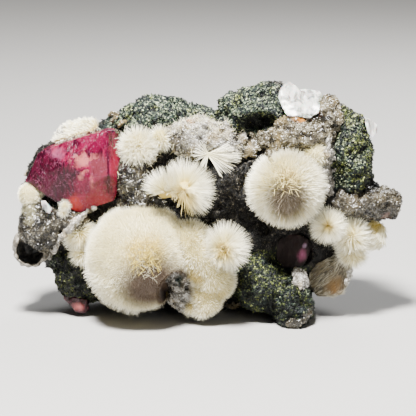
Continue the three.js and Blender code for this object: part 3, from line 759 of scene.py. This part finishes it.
# Centre and radius to the tips in mm. Looking from the centre, "warm" says where a ball is golden and
# "shade" where it is painted dark brown, partly its own brown and partly painted shade on its lower side:
# a direction, how far round it goes and how strong. "only" is the side that needles grow to, and how wide.
needleBalls = {
    "large": {"style": "velvet", "at": (-20.2, -13, 20.9), "radius": 17.4,
              "warm": ((0.14, -0.94, 0.28), 0.6, 0.65), "shade": ((0.26, -0.9, -0.4), 0.9, 1.0)},
    "neck": {"style": "lobe", "at": (-5.2, -15.6, 26.2), "radius": 8.4, "warm": ((0, -1, -0.4), 1.2, 0.12)},
    "shoulder": {"style": "lobe", "at": (-3.4, -16.6, 22.6), "radius": 8.4},
    "waist": {"style": "lobe", "at": (1.6, -15.4, 16.2), "radius": 8,
              "warm": ((-0.76, -0.64, 0.09), 0.6, 1.0)},
    "heel": {"style": "lobe", "at": (0.4, -14.8, 7.8), "radius": 6},
    "bridge": {"style": "lobe", "at": (-0.6, -16.2, 19.6), "radius": 8.2,
               "warm": ((-0.6, -0.6, -0.45), 0.7, 0.8)},
    "middle": {"style": "open", "at": (5.4, -18.4, 24.8), "radius": 11.2,
               "warm": ((-0.1, -1, 0), 0.7, 1.0)},
    "apron": {"style": "lobe", "at": (-0.4, -14.5, 10.4), "radius": 6.4,
              "warm": ((0.1, -1, 0.2), 1.2, 0.25)},
    "lowerLobe": {"style": "lobe", "at": (3, -13.5, 13.4), "radius": 7.8,
                  "warm": ((-0.2, -0.7, -0.8), 1.1, 0.35)},
    "toe": {"style": "puff", "at": (-0.8, -15.5, 5.2), "radius": 5.2, "warm": ((0.4, -0.6, 0.8), 1.2, 0.5)},
    "toeLeft": {"style": "puff", "at": (-4.6, -14, 5.6), "radius": 4.2,
                "warm": ((0.4, -0.8, 0.2), 1.2, 0.5)},
    "right": {"style": "ball", "at": (24.5, -13, 42.3), "radius": 13.4,
              "warm": ((0.05, -0.9, 0.42), 0.45, 0.5), "shade": ((-0.02, -1, -0.24), 0.9, 0.9)},
    "rightSmall": {"style": "ball", "at": (33, -9, 52), "radius": 5.4},
    "lowerRight": {"style": "open", "at": (37.3, -11.5, 30), "radius": 7.4,
                   "warm": ((-0.05, -1, 0.15), 0.6, 0.8)},
    "lowerRightSide": {"style": "puff", "at": (44.4, -8, 26), "radius": 8},
    "lowerRightLow": {"style": "puff", "at": (44.8, -6.4, 20.8), "radius": 6.4},
    "fan": {"style": "open", "at": (-6.7, -16.5, 42.2), "radius": 12, "warm": ((-0.2, -1, -0.4), 1, 0.8),
            "only": ((0.72, -0.3, 0.6), -0.05)},
    "fanMiddle": {"style": "open", "at": (-9.8, -16.5, 42.2), "radius": 9.6,
                  "warm": ((-0.1, -0.8, -0.6), 0.9, 0.6),
                  "only": ((0.15, -0.35, 0.93), 0.3)},
    "fanSide": {"style": "open", "at": (-12.6, -16.5, 42), "radius": 9.2,
                "warm": ((-0.1, -0.8, -0.6), 0.9, 0.6),
                "only": ((-0.25, -0.3, 0.92), 0.4)},
    "puffUpper": {"style": "puff", "at": (-20.5, -9.5, 54.2), "radius": 7.7},
    "puffUpperSide": {"style": "puff", "at": (-13.8, -8.5, 56.6), "radius": 5.3},
    "puffLeft": {"style": "puff", "at": (-38.4, -9.5, 27.5), "radius": 7,
                 "warm": ((0.2, -1, -0.3), 0.7, 0.3)},
    "puffLeftLow": {"style": "puff", "at": (-37.6, -9.5, 21.5), "radius": 5.8},
    "tuftLeft": {"style": "tuft", "at": (-54.2, -4, 38.4), "radius": 4.8},
    "tuftLeftLow": {"style": "tuft", "at": (-53.8, -4, 32.8), "radius": 3.8,
                    "moss": ((0, -1, -0.4), 3.5, 0.85)},
    "tuftSmall": {"style": "downy", "at": (-42.8, -12.8, 36.8), "radius": 3.2},
    "tuftSmallLow": {"style": "downy", "at": (-43.4, -12.4, 34.4), "radius": 2.9},
}
# Each group of balls that grew together is one solid piece of felt and one of needles
needleGroups = {
    "mesolite_cluster_large": {
        "balls": ["large", "neck", "shoulder", "bridge", "middle", "waist", "lowerLobe", "apron", "heel",
                  "toe",
                  "toeLeft"],
        "seed": 3, "dent": {"at": (-9.6, -22, 11.4), "size": (5.6, 14, 7.8), "depth": 10}},
    "mesolite_ball_right": {"balls": ["right", "rightSmall"], "seed": 4},
    "mesolite_ball_lower_right": {"balls": ["lowerRight", "lowerRightSide", "lowerRightLow"], "seed": 5},
    "mesolite_fan": {"balls": ["fan", "fanMiddle", "fanSide"], "seed": 6},
    "mesolite_puff_upper": {"balls": ["puffUpper", "puffUpperSide"], "seed": 7, "wild": 2.2},
    "mesolite_puff_left": {"balls": ["puffLeft", "puffLeftLow"], "seed": 8, "wild": 2},
    "mesolite_tuft_left": {"balls": ["tuftLeft", "tuftLeftLow"], "seed": 9, "wild": 2.5},
    "mesolite_tuft_small": {"balls": ["tuftSmall", "tuftSmallLow"], "seed": 10, "wild": 2},
}
needleMake = {
    "voxel": 0.45, "blend": 16,  # how many rounds of smoothing run the cores of one group together
    "softness": 0.6, "unevenCore": [(7, 0.6), (3, 0.25)],
    "spotEdge": 0.35,  # a golden, brown or mossy spot is full out to this share of its width
    "backFrom": 3, "lowest": 0.8,  # needles grow before this depth and above this height, in mm
    "dentFloor": 0.7,  # the dent is at its deepest out to here, in its half sizes
    "dentShade": (0.9, 1.3),  # the same for its full shade, and where that ends
    "nearest": 0.25,  # mm, which keeps the weight of a ball finite
    "upright": 0.5,  # how much a needle turns to the surface's normal
    "felt": {"Length Spread": 0.45, "Tilt": 0.14, "Clump": 0.12, "Clump Size": 0.9 * mm},
    "needles": {"Length Spread": 0.4, "Tilt": 0.07, "Clump": 0.22, "Clump Size": 0.8 * mm, "Tip": 0.15},
}


def coreRadius(ball):
    return ballStyles[ball["style"]]["core"] * ball["radius"]


def coreMesh(node, balls):  # the solid middle of the balls, run together
    form = bmesh.new()
    for ball in balls:
        addLump(form, ball["at"], coreRadius(ball), 4)
    draft = linkForm(node + "_balls", form)
    addVoxels(draft, needleMake["voxel"])
    soft = draft.modifiers.new("soft", "SMOOTH")
    soft.factor = needleMake["softness"]
    soft.iterations = needleMake["blend"]
    core = plainCopy(draft, node + "_core")
    roughen(core.data, needleMake["unevenCore"])
    core.data.shade_smooth()
    return core


def spotStrength(ball, kind, direction):
    if kind not in ball:
        return 0.0
    toward, width, strength = ball[kind]
    away = (direction - Vector(toward).normalized()).length
    return strength * (1 - smoothRange(away, needleMake["spotEdge"] * width, width))


def growsToward(ball, direction):
    if "only" not in ball:
        return True
    toward, limit = ball["only"]
    return direction.dot(Vector(toward).normalized()) > limit


# What the needles of one kind at this point of the core are like
def markPoint(place, normal, balls, kind):
    values = {"cover": 0, "reach": 0, "thick": 0, "along": 0, "warm": 0, "shade": 0, "moss": 0}
    way = Vector()
    total = 0
    for ball in balls:
        offset = place - Vector(ball["at"])
        direction = offset.normalized()
        style = ballStyles[ball["style"]]
        number, share, thick = style[kind]
        weight = 1 / (abs(offset.length - coreRadius(ball)) + needleMake["nearest"]) ** 2
        total += weight
        way += weight * direction
        own = {"cover": number * growsToward(ball, direction), "thick": thick * mm, "along": style["pale"],
               "reach": (ball["radius"] - coreRadius(ball)) * share * mm,
               **{tint: spotStrength(ball, tint, direction) for tint in ("warm", "shade", "moss")}}
        for label, value in own.items():
            values[label] += weight * value
    values = {label: value / total for label, value in values.items()}
    return values, (way.normalized() + needleMake["upright"] * normal).normalized()


def dent(mesh, group):  # presses the core in beside the druse knob, and gives how far in mm
    sunk = [0.0] * len(mesh.vertices)
    if "dent" in group:
        for vertex in mesh.vertices:
            share = 1 - smoothRange(reachOf(vertex.co / mm, group["dent"]), needleMake["dentFloor"], 1.0)
            sunk[vertex.index] = group["dent"]["depth"] * share
            vertex.co.y += sunk[vertex.index] * mm
    return sunk


def markCore(mesh, group, balls, kind, solids, sunk):
    marks = [markPoint(v.co / mm, v.normal, balls, kind) for v in mesh.vertices]
    for (values, _), vertex in zip(marks, mesh.vertices):
        place = vertex.co / mm
        if place.y > needleMake["backFrom"] or place.z < needleMake["lowest"] or buried(place, solids):
            values["cover"] = 0.0
        # the dent's walls are painted in full shade and bear no needles
        if "dent" in group:
            before = place - Vector((0, sunk[vertex.index], 0))
            away = smoothRange(reachOf(before, group["dent"]), *needleMake["dentShade"])
            values["shade"] = max(values["shade"], 1 - away)
            values["cover"] *= away > 0
        if kind == "needles":
            values["cover"] *= 1 - min(values["shade"], 1)
    for label in marks[0][0]:
        setAttribute(mesh, label, [values[label] for values, _ in marks])
    setWays(mesh, [way for _, way in marks])


def growNeedles(node, group):
    balls = [needleBalls[label] for label in group["balls"]]
    core = coreMesh(node, balls)
    sunk = dent(core.data, group)
    second = linkNew(node + "_bed", core.data.copy())
    solids = otherSolids(node)
    for bed, kind, keep in ((core, "felt", True), (second, "needles", False)):
        markCore(bed.data, group, balls, kind, solids, sunk)
        make = dict(needleMake[kind])
        make["Tilt"] *= group.get("wild", 1)
        piece = grown(bed, f"{node}_{kind}", "needles", "mesolite", group["seed"], keep, make)
        finishPiece(piece, "mesolite", *([node] if keep else []))


for node, group in needleGroups.items():
    growNeedles(node, group)
print("needle balls")

# The rock: a rough block with a granular green skin on its show side, and bare basalt behind
rock = {
    "voxel": 0.68,
    "layers": [(9, 0.8), (1.7, 0.45)],  # size and height of each roughness in mm
    "ridges": [(5.5, 1.4), (2.6, 0.85), (1.5, 0.35)],  # the same for sharp ridges
    # Behind this uneven depth in mm it is bare basalt
    "backFrom": 9, "backTo": 14, "ragSize": 3.5, "ragDepth": 5,
    "grainGap": 0.8,  # mm kept free of grains round other pieces and above the floor
    "bareBack": 0.9,  # the share of the grains that the back lacks
    "greenRag": 0.35, "greenEdge": (0.85, 1.1),  # the uneven edge of a green place, in its half sizes
    "pitFloor": 0.3,  # a pit is at its deepest out to here, in its half sizes
    "grains": {"Density": 2.8e6, "Size": 0.36 * mm, "Size Spread": 0.6, "Stretch": 1.8}, "seed": 20,
}
# Domes and lobes that keep their green skin: centre and half sizes in mm, and how yellow-green it is
greenPlaces = [
    {"at": (-15, 0, 61), "size": (18, 18, 10), "moss": 0.26},
    {"at": (13.5, 0, 64), "size": (14, 18, 9.5), "moss": 0.34},
    {"at": (-1, 0, 65), "size": (9, 18, 6), "moss": 0.5},
    {"at": (9.4, -10, 56.8), "size": (5, 9, 3), "moss": 1.0},
    {"at": (46, 0, 50), "size": (10, 18, 15), "moss": 0.55},
    {"at": (19, -8, 11), "size": (13, 18, 12), "moss": 0.6},
    {"at": (27, -12, 5), "size": (9, 12, 9), "moss": 0.5},
    {"at": (-39, -2, 13), "size": (11, 16, 10), "moss": 0.6},
]
pits = [  # hollows in the rock, with their depth in mm and how dark they are painted, as shade in them
    {"at": (15.6, -10, 60.8), "size": (8.4, 10, 4.6), "depth": 6, "dark": 1},
    {"at": (19, -18, 34), "size": (7, 10, 9), "depth": 1.5, "dark": 1},
    {"at": (-13, -20, 38.5), "size": (6, 12, 3), "depth": 2, "dark": 1},
    {"at": (-40, -12, 14), "size": (13, 20, 13), "depth": 0, "dark": 0.7},
]


def greenness(place, ragged):  # how green the skin is here and how yellow that green is
    nearest, moss = min((reachOf(place, spot), spot["moss"]) for spot in greenPlaces)
    return 1 - smoothRange(nearest + rock["greenRag"] * ragged, *rock["greenEdge"]), moss


# Sinks the pits, and gives for each point how dark it is painted as shade in a pit
def sinkPits(mesh):
    depths = [0.0] * len(mesh.vertices)
    for pit in pits:
        for vertex in mesh.vertices:
            share = 1 - smoothRange(reachOf(vertex.co / mm, pit), rock["pitFloor"], 1.0)
            vertex.co.y += share * pit["depth"] * mm
            depths[vertex.index] = max(depths[vertex.index], share * pit["dark"])
    return depths


def growRock():
    base = remeshed(nodeCopy("basalt_rock", "rockDraft"), "basalt_with_skin", rock["voxel"])
    roughen(base.data, rock["layers"], ridges=rock["ridges"])
    base.data.shade_smooth()
    spots = [v.co / mm for v in base.data.vertices]
    sunk = sinkPits(base.data)
    ragged = [noise.noise(spot / rock["ragSize"]) for spot in spots]
    depths = [spot.y + rock["ragDepth"] * rag for spot, rag in zip(spots, ragged)]
    back = [smoothRange(depth, rock["backFrom"], rock["backTo"]) for depth in depths]
    green = [greenness(spot, rag) for spot, rag in zip(spots, ragged)]
    # the pits' painted shade joins the painted shade of the hollows
    setAttribute(base.data, "hollowShade", np.maximum(readAttribute(base.data, "hollowShade"), sunk))
    setAttribute(base.data, "back", back)
    setAttribute(base.data, "skin", [share * (1 - b) for (share, _), b in zip(green, back)])
    setAttribute(base.data, "moss", [moss for _, moss in green])
    free = openness(base.data, otherSolids("basalt_rock"), rock["grainGap"])
    setAttribute(base.data, "cover", [
        share * (1 - rock["bareBack"] * b) * (spot.z > rock["grainGap"])
        for share, b, spot in zip(free, back, spots)])
    seedbed = linkNew("grainBed", base.data.copy())
    grains = grown(seedbed, "celadonite_grains", "grains", "celadoniteGrain", rock["seed"], False,
                   rock["grains"])
    base.data.materials.append(looks["celadonite"])
    print("basalt_with_skin", triangleCount(base.data), "triangles")
    finishPiece(base, "basalt", "basalt_rock")
    finishPiece(grains, "basalt")


growRock()
print("rock")

# Drusy quartz: bumpy crusts set with small points
druses = {
    "druse_left": {"look": "druse_grey", "seed": 31, "murk": 1.1},
    "druse_middle": {"look": "druse_grey", "seed": 32, "fuzz": 0.25, "murk": 1.35},
    "druse_upper_right": {"look": "druse_tan", "seed": 33, "bumps": {"size": 2.3, "height": 1.25},
                          "murk": 1.0},
    "druse_right": {"look": "druse_grey", "seed": 34, "murk": 0.6},
    "druse_top_band": {"look": "druse_white", "seed": 35, "fuzz": 3.4, "fuzzFrom": 58.5, "murk": 0.95},
    "druse_lower_knob": {"look": "druse_white", "seed": 36, "bumps": {"size": 2.2, "height": 1.1},
                         "murk": 1.1},
    "druse_pocket_rim": {"look": "druse_white", "seed": 37, "murk": 0.5},
}
crust = {
    "voxel": 0.5, "gap": 0.7,  # mm; no quartz points stand so near to another piece
    "layers": [(5, 0.6), (1.8, 0.4)],
    "bumps": {"size": 2.6, "height": 0.8},
    "points": {"Density": 4e6, "Size": 0.38 * mm, "Size Spread": 0.65, "Stretch": 1.8, "Tilt": 0.8},
    "fuzz": {"Length Spread": 0.6, "Tilt": 0.9, "Clump": 0.3},
    "fuzzLength": 2.6 * mm, "fuzzRadius": 0.09 * mm,
    "fuzzLow": 0.25,  # how much of the fuzz there is below a druse's "fuzzFrom", a height in mm
    "murkSize": 3.6,  # mm, of the dark patches, painted shade of deep holes; a druse's "murk" says how much of it they take up
    "murkFrom": 0.9, "murkRange": 0.7,
}


def growFuzz(node, bed, spec):  # short white fibres strewn over a druse
    normals = [v.normal.copy() for v in bed.data.vertices]
    for label, value in {"reach": crust["fuzzLength"], "thick": crust["fuzzRadius"], "warm": 0.05}.items():
        setAttribute(bed.data, label, value)
    low = spec.get("fuzzFrom", 0) * mm
    setAttribute(bed.data, "cover", [
        spec["fuzz"] * (v.normal.y < 0.5) * (crust["fuzzLow"] if v.co.z < low else 1.0)
        for v in bed.data.vertices])
    setWays(bed.data, normals)
    fuzz = grown(bed, node + "_fibres", "needles", "mesolite", spec["seed"], False, crust["fuzz"])
    finishPiece(fuzz, "mesolite")


def growDruse(node, spec):
    base = bedOf(node, crust["voxel"])
    roughen(base.data, crust["layers"], spec.get("bumps", crust["bumps"]))
    base.data.shade_smooth()
    clouds = [noise.fractal(v.co / mm / crust["murkSize"], 1, 2,
                            3) + spec["murk"] for v in base.data.vertices]
    murk = [smoothRange(cloud - crust["murkFrom"], 0, crust["murkRange"]) for cloud in clouds]
    # the dark patches are painted shade, added to that of the hollows
    setAttribute(base.data, "hollowShade", np.maximum(readAttribute(base.data, "hollowShade"), murk))
    if "fuzz" in spec:
        growFuzz(node, linkNew(node + "_fuzzBed", base.data.copy()), spec)
    setAttribute(base.data, "cover", openness(base.data, otherSolids(node), crust["gap"]))
    piece = grown(base, node + "_crust", "points", spec["look"], spec["seed"], True, crust["points"])
    finishPiece(piece, slotOf(node), node)


for node, spec in druses.items():
    growDruse(node, spec)
print("druses")

# Thin crusts along an edge: a chain of small lumps on what lies behind it, as x and z in mm
ledges = {
    "crust_edge_left": {
        "path": [(-34.3, 35.4), (-39.8, 31.8), (-44, 27), (-46.8, 22), (-48.4, 18)],
        "radius": 1.0, "spread": 0.3, "count": 90, "look": "druse_white", "seed": 81},
    "crumbs_upper_left": {
        "path": [(-57.3, 43), (-55.6, 48.5), (-52.5, 53.3), (-48, 56.6), (-44, 58.4)],
        "radius": 0.75, "spread": 0.8, "count": 120, "look": "druse_white", "seed": 82},
    "crust_beside_ball": {
        "path": [(37.6, 56), (37.8, 50), (37.6, 44), (37.4, 40)],
        "radius": 1.0, "spread": 0.7, "count": 110, "look": "druse_white", "seed": 84},
    "crust_below_cavity": {
        "path": [(20.5, 54.5), (17, 55.6), (14, 54), (11.4, 51.4)],
        "radius": 1.1, "spread": 1.0, "count": 90, "look": "druse_tan", "seed": 88},
    "crust_lower_lip": {
        "path": [(25.4, 1.3), (27.6, 1.6), (30.4, 2.9), (31.8, 5)],
        "radius": 0.8, "spread": 0.5, "count": 60, "look": "druse_grey", "seed": 85},
    "crust_broken_edge": {
        "path": [(43.2, 11.5), (44.3, 14), (44, 17.2)],
        "radius": 0.7, "spread": 0.3, "count": 40, "look": "druse_white", "seed": 87},
    "crumbs_below": {
        "path": [(6.9, 2.2), (8.6, 1.8), (10.6, 2.6)],
        "radius": 0.85, "spread": 0.4, "count": 26, "look": "druse_tan", "seed": 86},
    "small_druse_top": {
        "path": [(-31.5, 63), (-29, 63.6), (-26.5, 61.8)],
        "radius": 1.0, "spread": 1.1, "count": 60, "look": "druse_tan", "seed": 83},
}
ledgeMake = {"voxel": 0.36, "layers": [(1.6, 0.35), (0.8, 0.25)], "pointSize": 0.26, "lookFrom": -60}  # mm


def alongPath(path, share):
    place = share * (len(path) - 1)
    first = min(int(place), len(path) - 2)
    return [a + (b - a) * (place - first) for a, b in zip(path[first], path[first + 1])]


def growLedge(name, spec, solids):
    random = np.random.default_rng(spec["seed"])
    form = bmesh.new()
    for step in range(spec["count"]):
        x, z = alongPath(spec["path"], step / (spec["count"] - 1))
        x, z = x + random.normal(0, spec["spread"]), z + random.normal(0, spec["spread"])
        hit = solids.ray_cast(Vector((x, ledgeMake["lookFrom"], z)), Vector((0, 1, 0)))[0]
        if hit is not None:
            addLump(form, hit, spec["radius"] * random.uniform(0.5, 1), 2)
    base = remeshed(linkForm(name + "_lumps", form), name + "_bed", ledgeMake["voxel"])
    roughen(base.data, ledgeMake["layers"])
    base.data.shade_smooth()
    setAttribute(base.data, "cover", 1.0)
    points = {**crust["points"], "Size": ledgeMake["pointSize"] * mm}
    piece = grown(base, name, "points", spec["look"], spec["seed"], True, points)
    finishPiece(piece, "druse_grey")


allSolids = otherSolids()
for name, spec in ledges.items():
    growLedge(name, spec, allSolids)
print("ledges")

# Calcite, chips and bubble: their solids with worn edges and fine relief
crystals = {
    "calcite_large": {"look": "calcite", "voxel": 0.45, "layers": [(6, 0.25), (1.6, 0.1)]},
    "calcite_pocket": {"look": "calcite_dark", "voxel": 0.4, "layers": [(2.4, 0.15)],
                       "cleaved": [((27, -7.4, 21), (-0.3, -1, 0.35)), ((30, -7, 20), (0.75, -1, -0.1))]},
    "calcite_foot": {"look": "calcite_foot", "voxel": 0.3, "layers": [(3, 0.35), (1, 0.2)]},
    "milky_chip_top": {"look": "milky_quartz", "voxel": 0.4, "layers": [(5, 0.7), (1.6, 0.14)]},
    "milky_chip_right": {"look": "white_quartz"},
    "clear_chip_left": {"look": "clear_quartz", "voxel": 0.2, "layers": [(2, 0.06)]},
    "chalcedony_bubble": {"look": "chalcedony", "voxel": 0.4, "layers": [(3.2, 0.7), (1.2, 0.45)]},
}
# The bubble's middle and half sizes in mm, as in the model, the share of them that is its inside, the
# height below which that inside is painted dark as shade, and how soft that limit is
bubble = {"at": (-54.2, -3, 21.6), "size": (5.6, 7, 6.2), "innerShare": 0.93, "shadeBelow": 23.5,
          "edge": 1.5}


def cleaveAll(mesh, spec):  # flattens what stands out past the piece's cleavage planes
    for place, toward in spec.get("cleaved", []):
        across = Vector(toward).normalized()
        for vertex in mesh.vertices:
            vertex.co -= max((vertex.co / mm - Vector(place)).dot(across), 0.0) * across * mm


def growCrystal(node, spec):
    piece = nodeCopy(node, node + "_worn")
    if "voxel" in spec:
        piece = remeshed(piece, node + "_worn", spec["voxel"])
    if node == "chalcedony_bubble":
        setAttribute(piece.data, "inner", [
            smoothRange(bubble["shadeBelow"] - v.co.z / mm, -bubble["edge"], bubble["edge"])
            * (reachOf(v.co / mm, bubble) < bubble["innerShare"]) for v in piece.data.vertices])
    cleaveAll(piece.data, spec)
    if "layers" in spec:
        roughen(piece.data, spec["layers"])
        piece.data.shade_smooth()
    piece.data.materials.append(looks[spec["look"]])
    print(piece.name, triangleCount(piece.data), "triangles")
    finishPiece(piece, slotOf(node), node)


for node, spec in crystals.items():
    growCrystal(node, spec)
print("crystals and bubble")

# Broken mesolite: fibres packed side by side along one direction
fibreBlocks = {
    "mesolite_block_upper_left": {
        "direction": (-0.75, -0.2, 0.35), "rise": 0.55, "length": 2.4, "density": 10, "radius": 0.13,
        "tilt": 0.5, "look": "mesolite", "seed": 61,
        "warm": {"at": (-42, -6, 62), "size": (5, 9, 4), "strength": 0.25}},
    "mesolite_block_lower_right": {
        "direction": (0.62, -0.1, 0.5), "rise": 0.0, "length": 3.2, "density": 4, "radius": 0.07,
        "tilt": 0.03, "look": "mesoliteBroken", "seed": 62, "layers": [(5, 0.5)],
        "cleaved": [((37.5, -8.6, 12.5), (-0.3, -1, 0.05)), ((42.5, -6, 14), (0.8, -0.7, 0.1))],
        "warm": {"at": (40, -10, 10.4), "size": (4.6, 12, 4.4), "strength": 1.0},
        "white": {"at": (45, -10, 16), "size": (3, 12, 6), "strength": 1.0}},
    "mesolite_block_right": {
        "direction": (-0.55, -0.5, -0.67), "rise": 0.12, "length": 3.4, "density": 10, "radius": 0.11,
        "tilt": 0.06, "look": "mesolite", "seed": 63,
        "warm": {"at": (52, -6, 30), "size": (5, 9, 4), "strength": 0.8}},
}
fibreMake = {
    "voxel": 0.5, "gap": 0.6,  # mm; no fibres stand so near to another piece
    "layers": [(3, 0.5), (1.1, 0.3)],
    "shrink": 0.87,  # leaves room for the fibres
    "pale": 0.15, "spotEdge": 0.2,  # the core's tone, and how far out a spot on it is full, in half sizes
    "fibres": {"Length Spread": 0.5, "Clump": 0.25, "Tip": 0.5},
}


def spotShare(place, spec, kind):
    if kind not in spec:
        return 0.0
    return spec[kind]["strength"] * (1 - smoothRange(reachOf(place, spec[kind]), fibreMake["spotEdge"],
                                                     1.0))


def growFibres(node, spec):
    base = bedOf(node, fibreMake["voxel"])
    cleaveAll(base.data, spec)
    roughen(base.data, spec.get("layers", fibreMake["layers"]))
    vertices = base.data.vertices
    middle = sum((v.co for v in vertices), Vector()) / len(vertices)
    for vertex in vertices:
        vertex.co = middle + (vertex.co - middle) * fibreMake["shrink"]
    base.data.shade_smooth()
    along = Vector(spec["direction"]).normalized()
    normals = [v.normal.copy() for v in vertices]
    flat = [(along - normal * along.dot(normal)).normalized() for normal in normals]
    setWays(base.data, [way + normal * spec["rise"] for way, normal in zip(flat, normals)])
    free = openness(base.data, otherSolids(node), fibreMake["gap"])
    for label, values in {
            "reach": spec["length"] * mm,
            "thick": spec["radius"] * mm,
            "along": [fibreMake["pale"] + spotShare(v.co / mm, spec, "white") for v in vertices],
            "warm": [spotShare(v.co / mm, spec, "warm") for v in vertices],
            "cover": [spec["density"] * share for share in free]}.items():
        setAttribute(base.data, label, values)
    fibres = {**fibreMake["fibres"], "Tilt": spec["tilt"]}
    piece = grown(base, node + "_fibres", "needles", spec["look"], spec["seed"], True, fibres)
    finishPiece(piece, "mesolite", node)


for node, spec in fibreBlocks.items():
    growFibres(node, spec)
print("broken mesolite")

# The open spray and other loose needles: separate rods, each bundle as seen from the front.
# Angles are in degrees anticlockwise from the right, lengths and radii in mm.
spray = {"at": (0.5, -15.5, 53.2), "seed": 71, "shortest": 0.62, "thinnest": 0.6, "rootSpread": 0.4}
sprayBundles = [
    {"from": -128, "to": -96, "length": 4.6, "count": 34, "radius": 0.13, "forward": 0.35},
    {"from": -64, "to": -44, "length": 8.8, "count": 14, "radius": 0.12, "forward": 0.5},
    {"from": -42, "to": -22, "length": 10.2, "count": 20, "radius": 0.11, "forward": 0.4},
    {"from": -18, "to": 4, "length": 11.2, "count": 44, "radius": 0.1, "forward": 0.35},
    {"from": 6, "to": 30, "length": 9, "count": 22, "radius": 0.1, "forward": 0.3},
    {"from": 100, "to": 215, "length": 5.4, "count": 30, "radius": 0.1, "forward": 0.3},
]

# Needles that lie loose on a ball: where on it, how far round, how many, their size in mm, how far they
# rise from it, how golden they are and at which share of the ball's radius they start
strayNeedles = [
    {"ball": "large", "toward": (0.14, -0.94, 0.28), "width": 0.24, "count": 150, "length": 4,
     "radius": 0.07, "rise": 0.12, "warm": 1.0},
    {"ball": "large", "toward": (0.02, -0.97, 0.14), "width": 0.36, "count": 110, "length": 3.2,
     "radius": 0.04, "rise": 0.12, "warm": 0.2},
    {"ball": "large", "toward": (-0.6, -0.3, -0.8), "width": 0.56, "count": 1000, "length": 3.0,
     "radius": 0.055, "rise": 2.4, "warm": 0.0},
    {"ball": "puffUpper", "toward": (-0.2, -1, 0.1), "width": 1.0, "count": 240, "length": 3.6,
     "radius": 0.07, "rise": 0.7, "warm": 0.1, "share": 0.7},
    {"ball": "right", "toward": (0.05, -0.9, 0.45), "width": 0.36, "count": 90, "length": 2.6,
     "radius": 0.08, "rise": 0.3, "warm": 0.7},
    {"ball": "middle", "toward": (-0.1, -1, 0), "width": 0.5, "count": 40, "length": 3,
     "radius": 0.1, "rise": 1.0, "warm": 0.7, "share": 0.6},
]
strayMake = {
    "seed": 90, "share": 0.91, "shortest": 0.45, "thinnest": 0.6,
    "darkest": 0.5, "upright": 1,  # needles that rise more than this keep out of darker shade than this
    "nearDent": 1.25,  # in half sizes of the dent
    "lowest": 0.3,  # mm above the floor
}


def startRods():
    form = bmesh.new()
    return form, {label: form.verts.layers.float.new(label) for label in ("along", "tone", "warm")}


def growStrays(name):
    form, layers = startRods()
    random = np.random.default_rng(strayMake["seed"])
    for spec in strayNeedles:
        ball = needleBalls[spec["ball"]]
        for _ in range(spec["count"]):
            offset = Vector(random.uniform(-1, 1, 3)) * spec["width"]
            out = (Vector(spec["toward"]).normalized() + offset).normalized()
            shaded = spotStrength(ball, "shade", out) > strayMake["darkest"]
            if shaded and spec["rise"] > strayMake["upright"]:
                continue
            across = out.cross(Vector(random.uniform(-1, 1, 3))).normalized()
            way = (across + out * spec["rise"]).normalized()
            start = Vector(ball["at"]) + out * ball["radius"] * spec.get("share", strayMake["share"])
            if reachOf(start, needleGroups["mesolite_cluster_large"]["dent"]) < strayMake["nearDent"]:
                continue
            length = spec["length"] * random.uniform(strayMake["shortest"], 1)
            width = spec["radius"] * random.uniform(strayMake["thinnest"], 1)
            end = start + way * length
            end.z = max(end.z, strayMake["lowest"])
            addRod(form, layers, start, end, width, random.uniform(), spec["warm"])
    finishRods(form, name)


rodRings = [(0, 1, 0.4), (0.9, 0.7, 0.9)]  # shares of the length and the radius, and how pale it is there


def addRod(form, layers, start, end, radius, tone, warm=0.0):  # a thin prism with a short point
    way = (end - start).normalized()
    side = way.orthogonal().normalized()
    other = way.cross(side)
    turns = (0, math.tau / 3, 2 * math.tau / 3)
    corners = [side * math.cos(turn) + other * math.sin(turn) for turn in turns]
    rings = []
    for share, width, _ in rodRings:
        middle = start.lerp(end, share)
        rings.append([form.verts.new((middle + corner * radius * width) * mm) for corner in corners])
    tip = form.verts.new(end * mm)
    tones = [(vertex, along) for ring, (_, _, along) in zip(rings, rodRings) for vertex in ring]
    for vertex, share in [*tones, (tip, 1.0)]:
        vertex[layers["along"]] = share
        vertex[layers["tone"]] = tone
        vertex[layers["warm"]] = warm
    form.faces.new(rings[0][::-1])
    for k in range(3):
        after = (k + 1) % 3
        form.faces.new((rings[0][k], rings[0][after], rings[1][after], rings[1][k]))
        form.faces.new((rings[1][k], rings[1][after], tip))


def finishRods(form, name, *nodes):
    piece = linkForm(name, form)
    piece.data.materials.append(looks["mesolite"])
    print(name, triangleCount(piece.data), "triangles")
    finishPiece(piece, "mesolite", *nodes)


def growSpray(name):
    form, layers = startRods()
    random = np.random.default_rng(spray["seed"])
    root = Vector(spray["at"])
    for bundle in sprayBundles:
        for _ in range(bundle["count"]):
            angle = math.radians(random.uniform(bundle["from"], bundle["to"]))
            forward = bundle["forward"] * random.uniform(-0.2, 1)
            way = Vector((math.cos(angle), -forward, math.sin(angle))).normalized()
            length = bundle["length"] * random.uniform(spray["shortest"], 1)
            start = root + Vector(random.uniform(-spray["rootSpread"], spray["rootSpread"], 3))
            width = bundle["radius"] * random.uniform(spray["thinnest"], 1)
            addRod(form, layers, start, root + way * length, width, random.uniform())
    finishRods(form, name, "mesolite_spray")


growSpray("mesolite_spray_needles")
growStrays("mesolite_stray_needles")
print("loose needles")
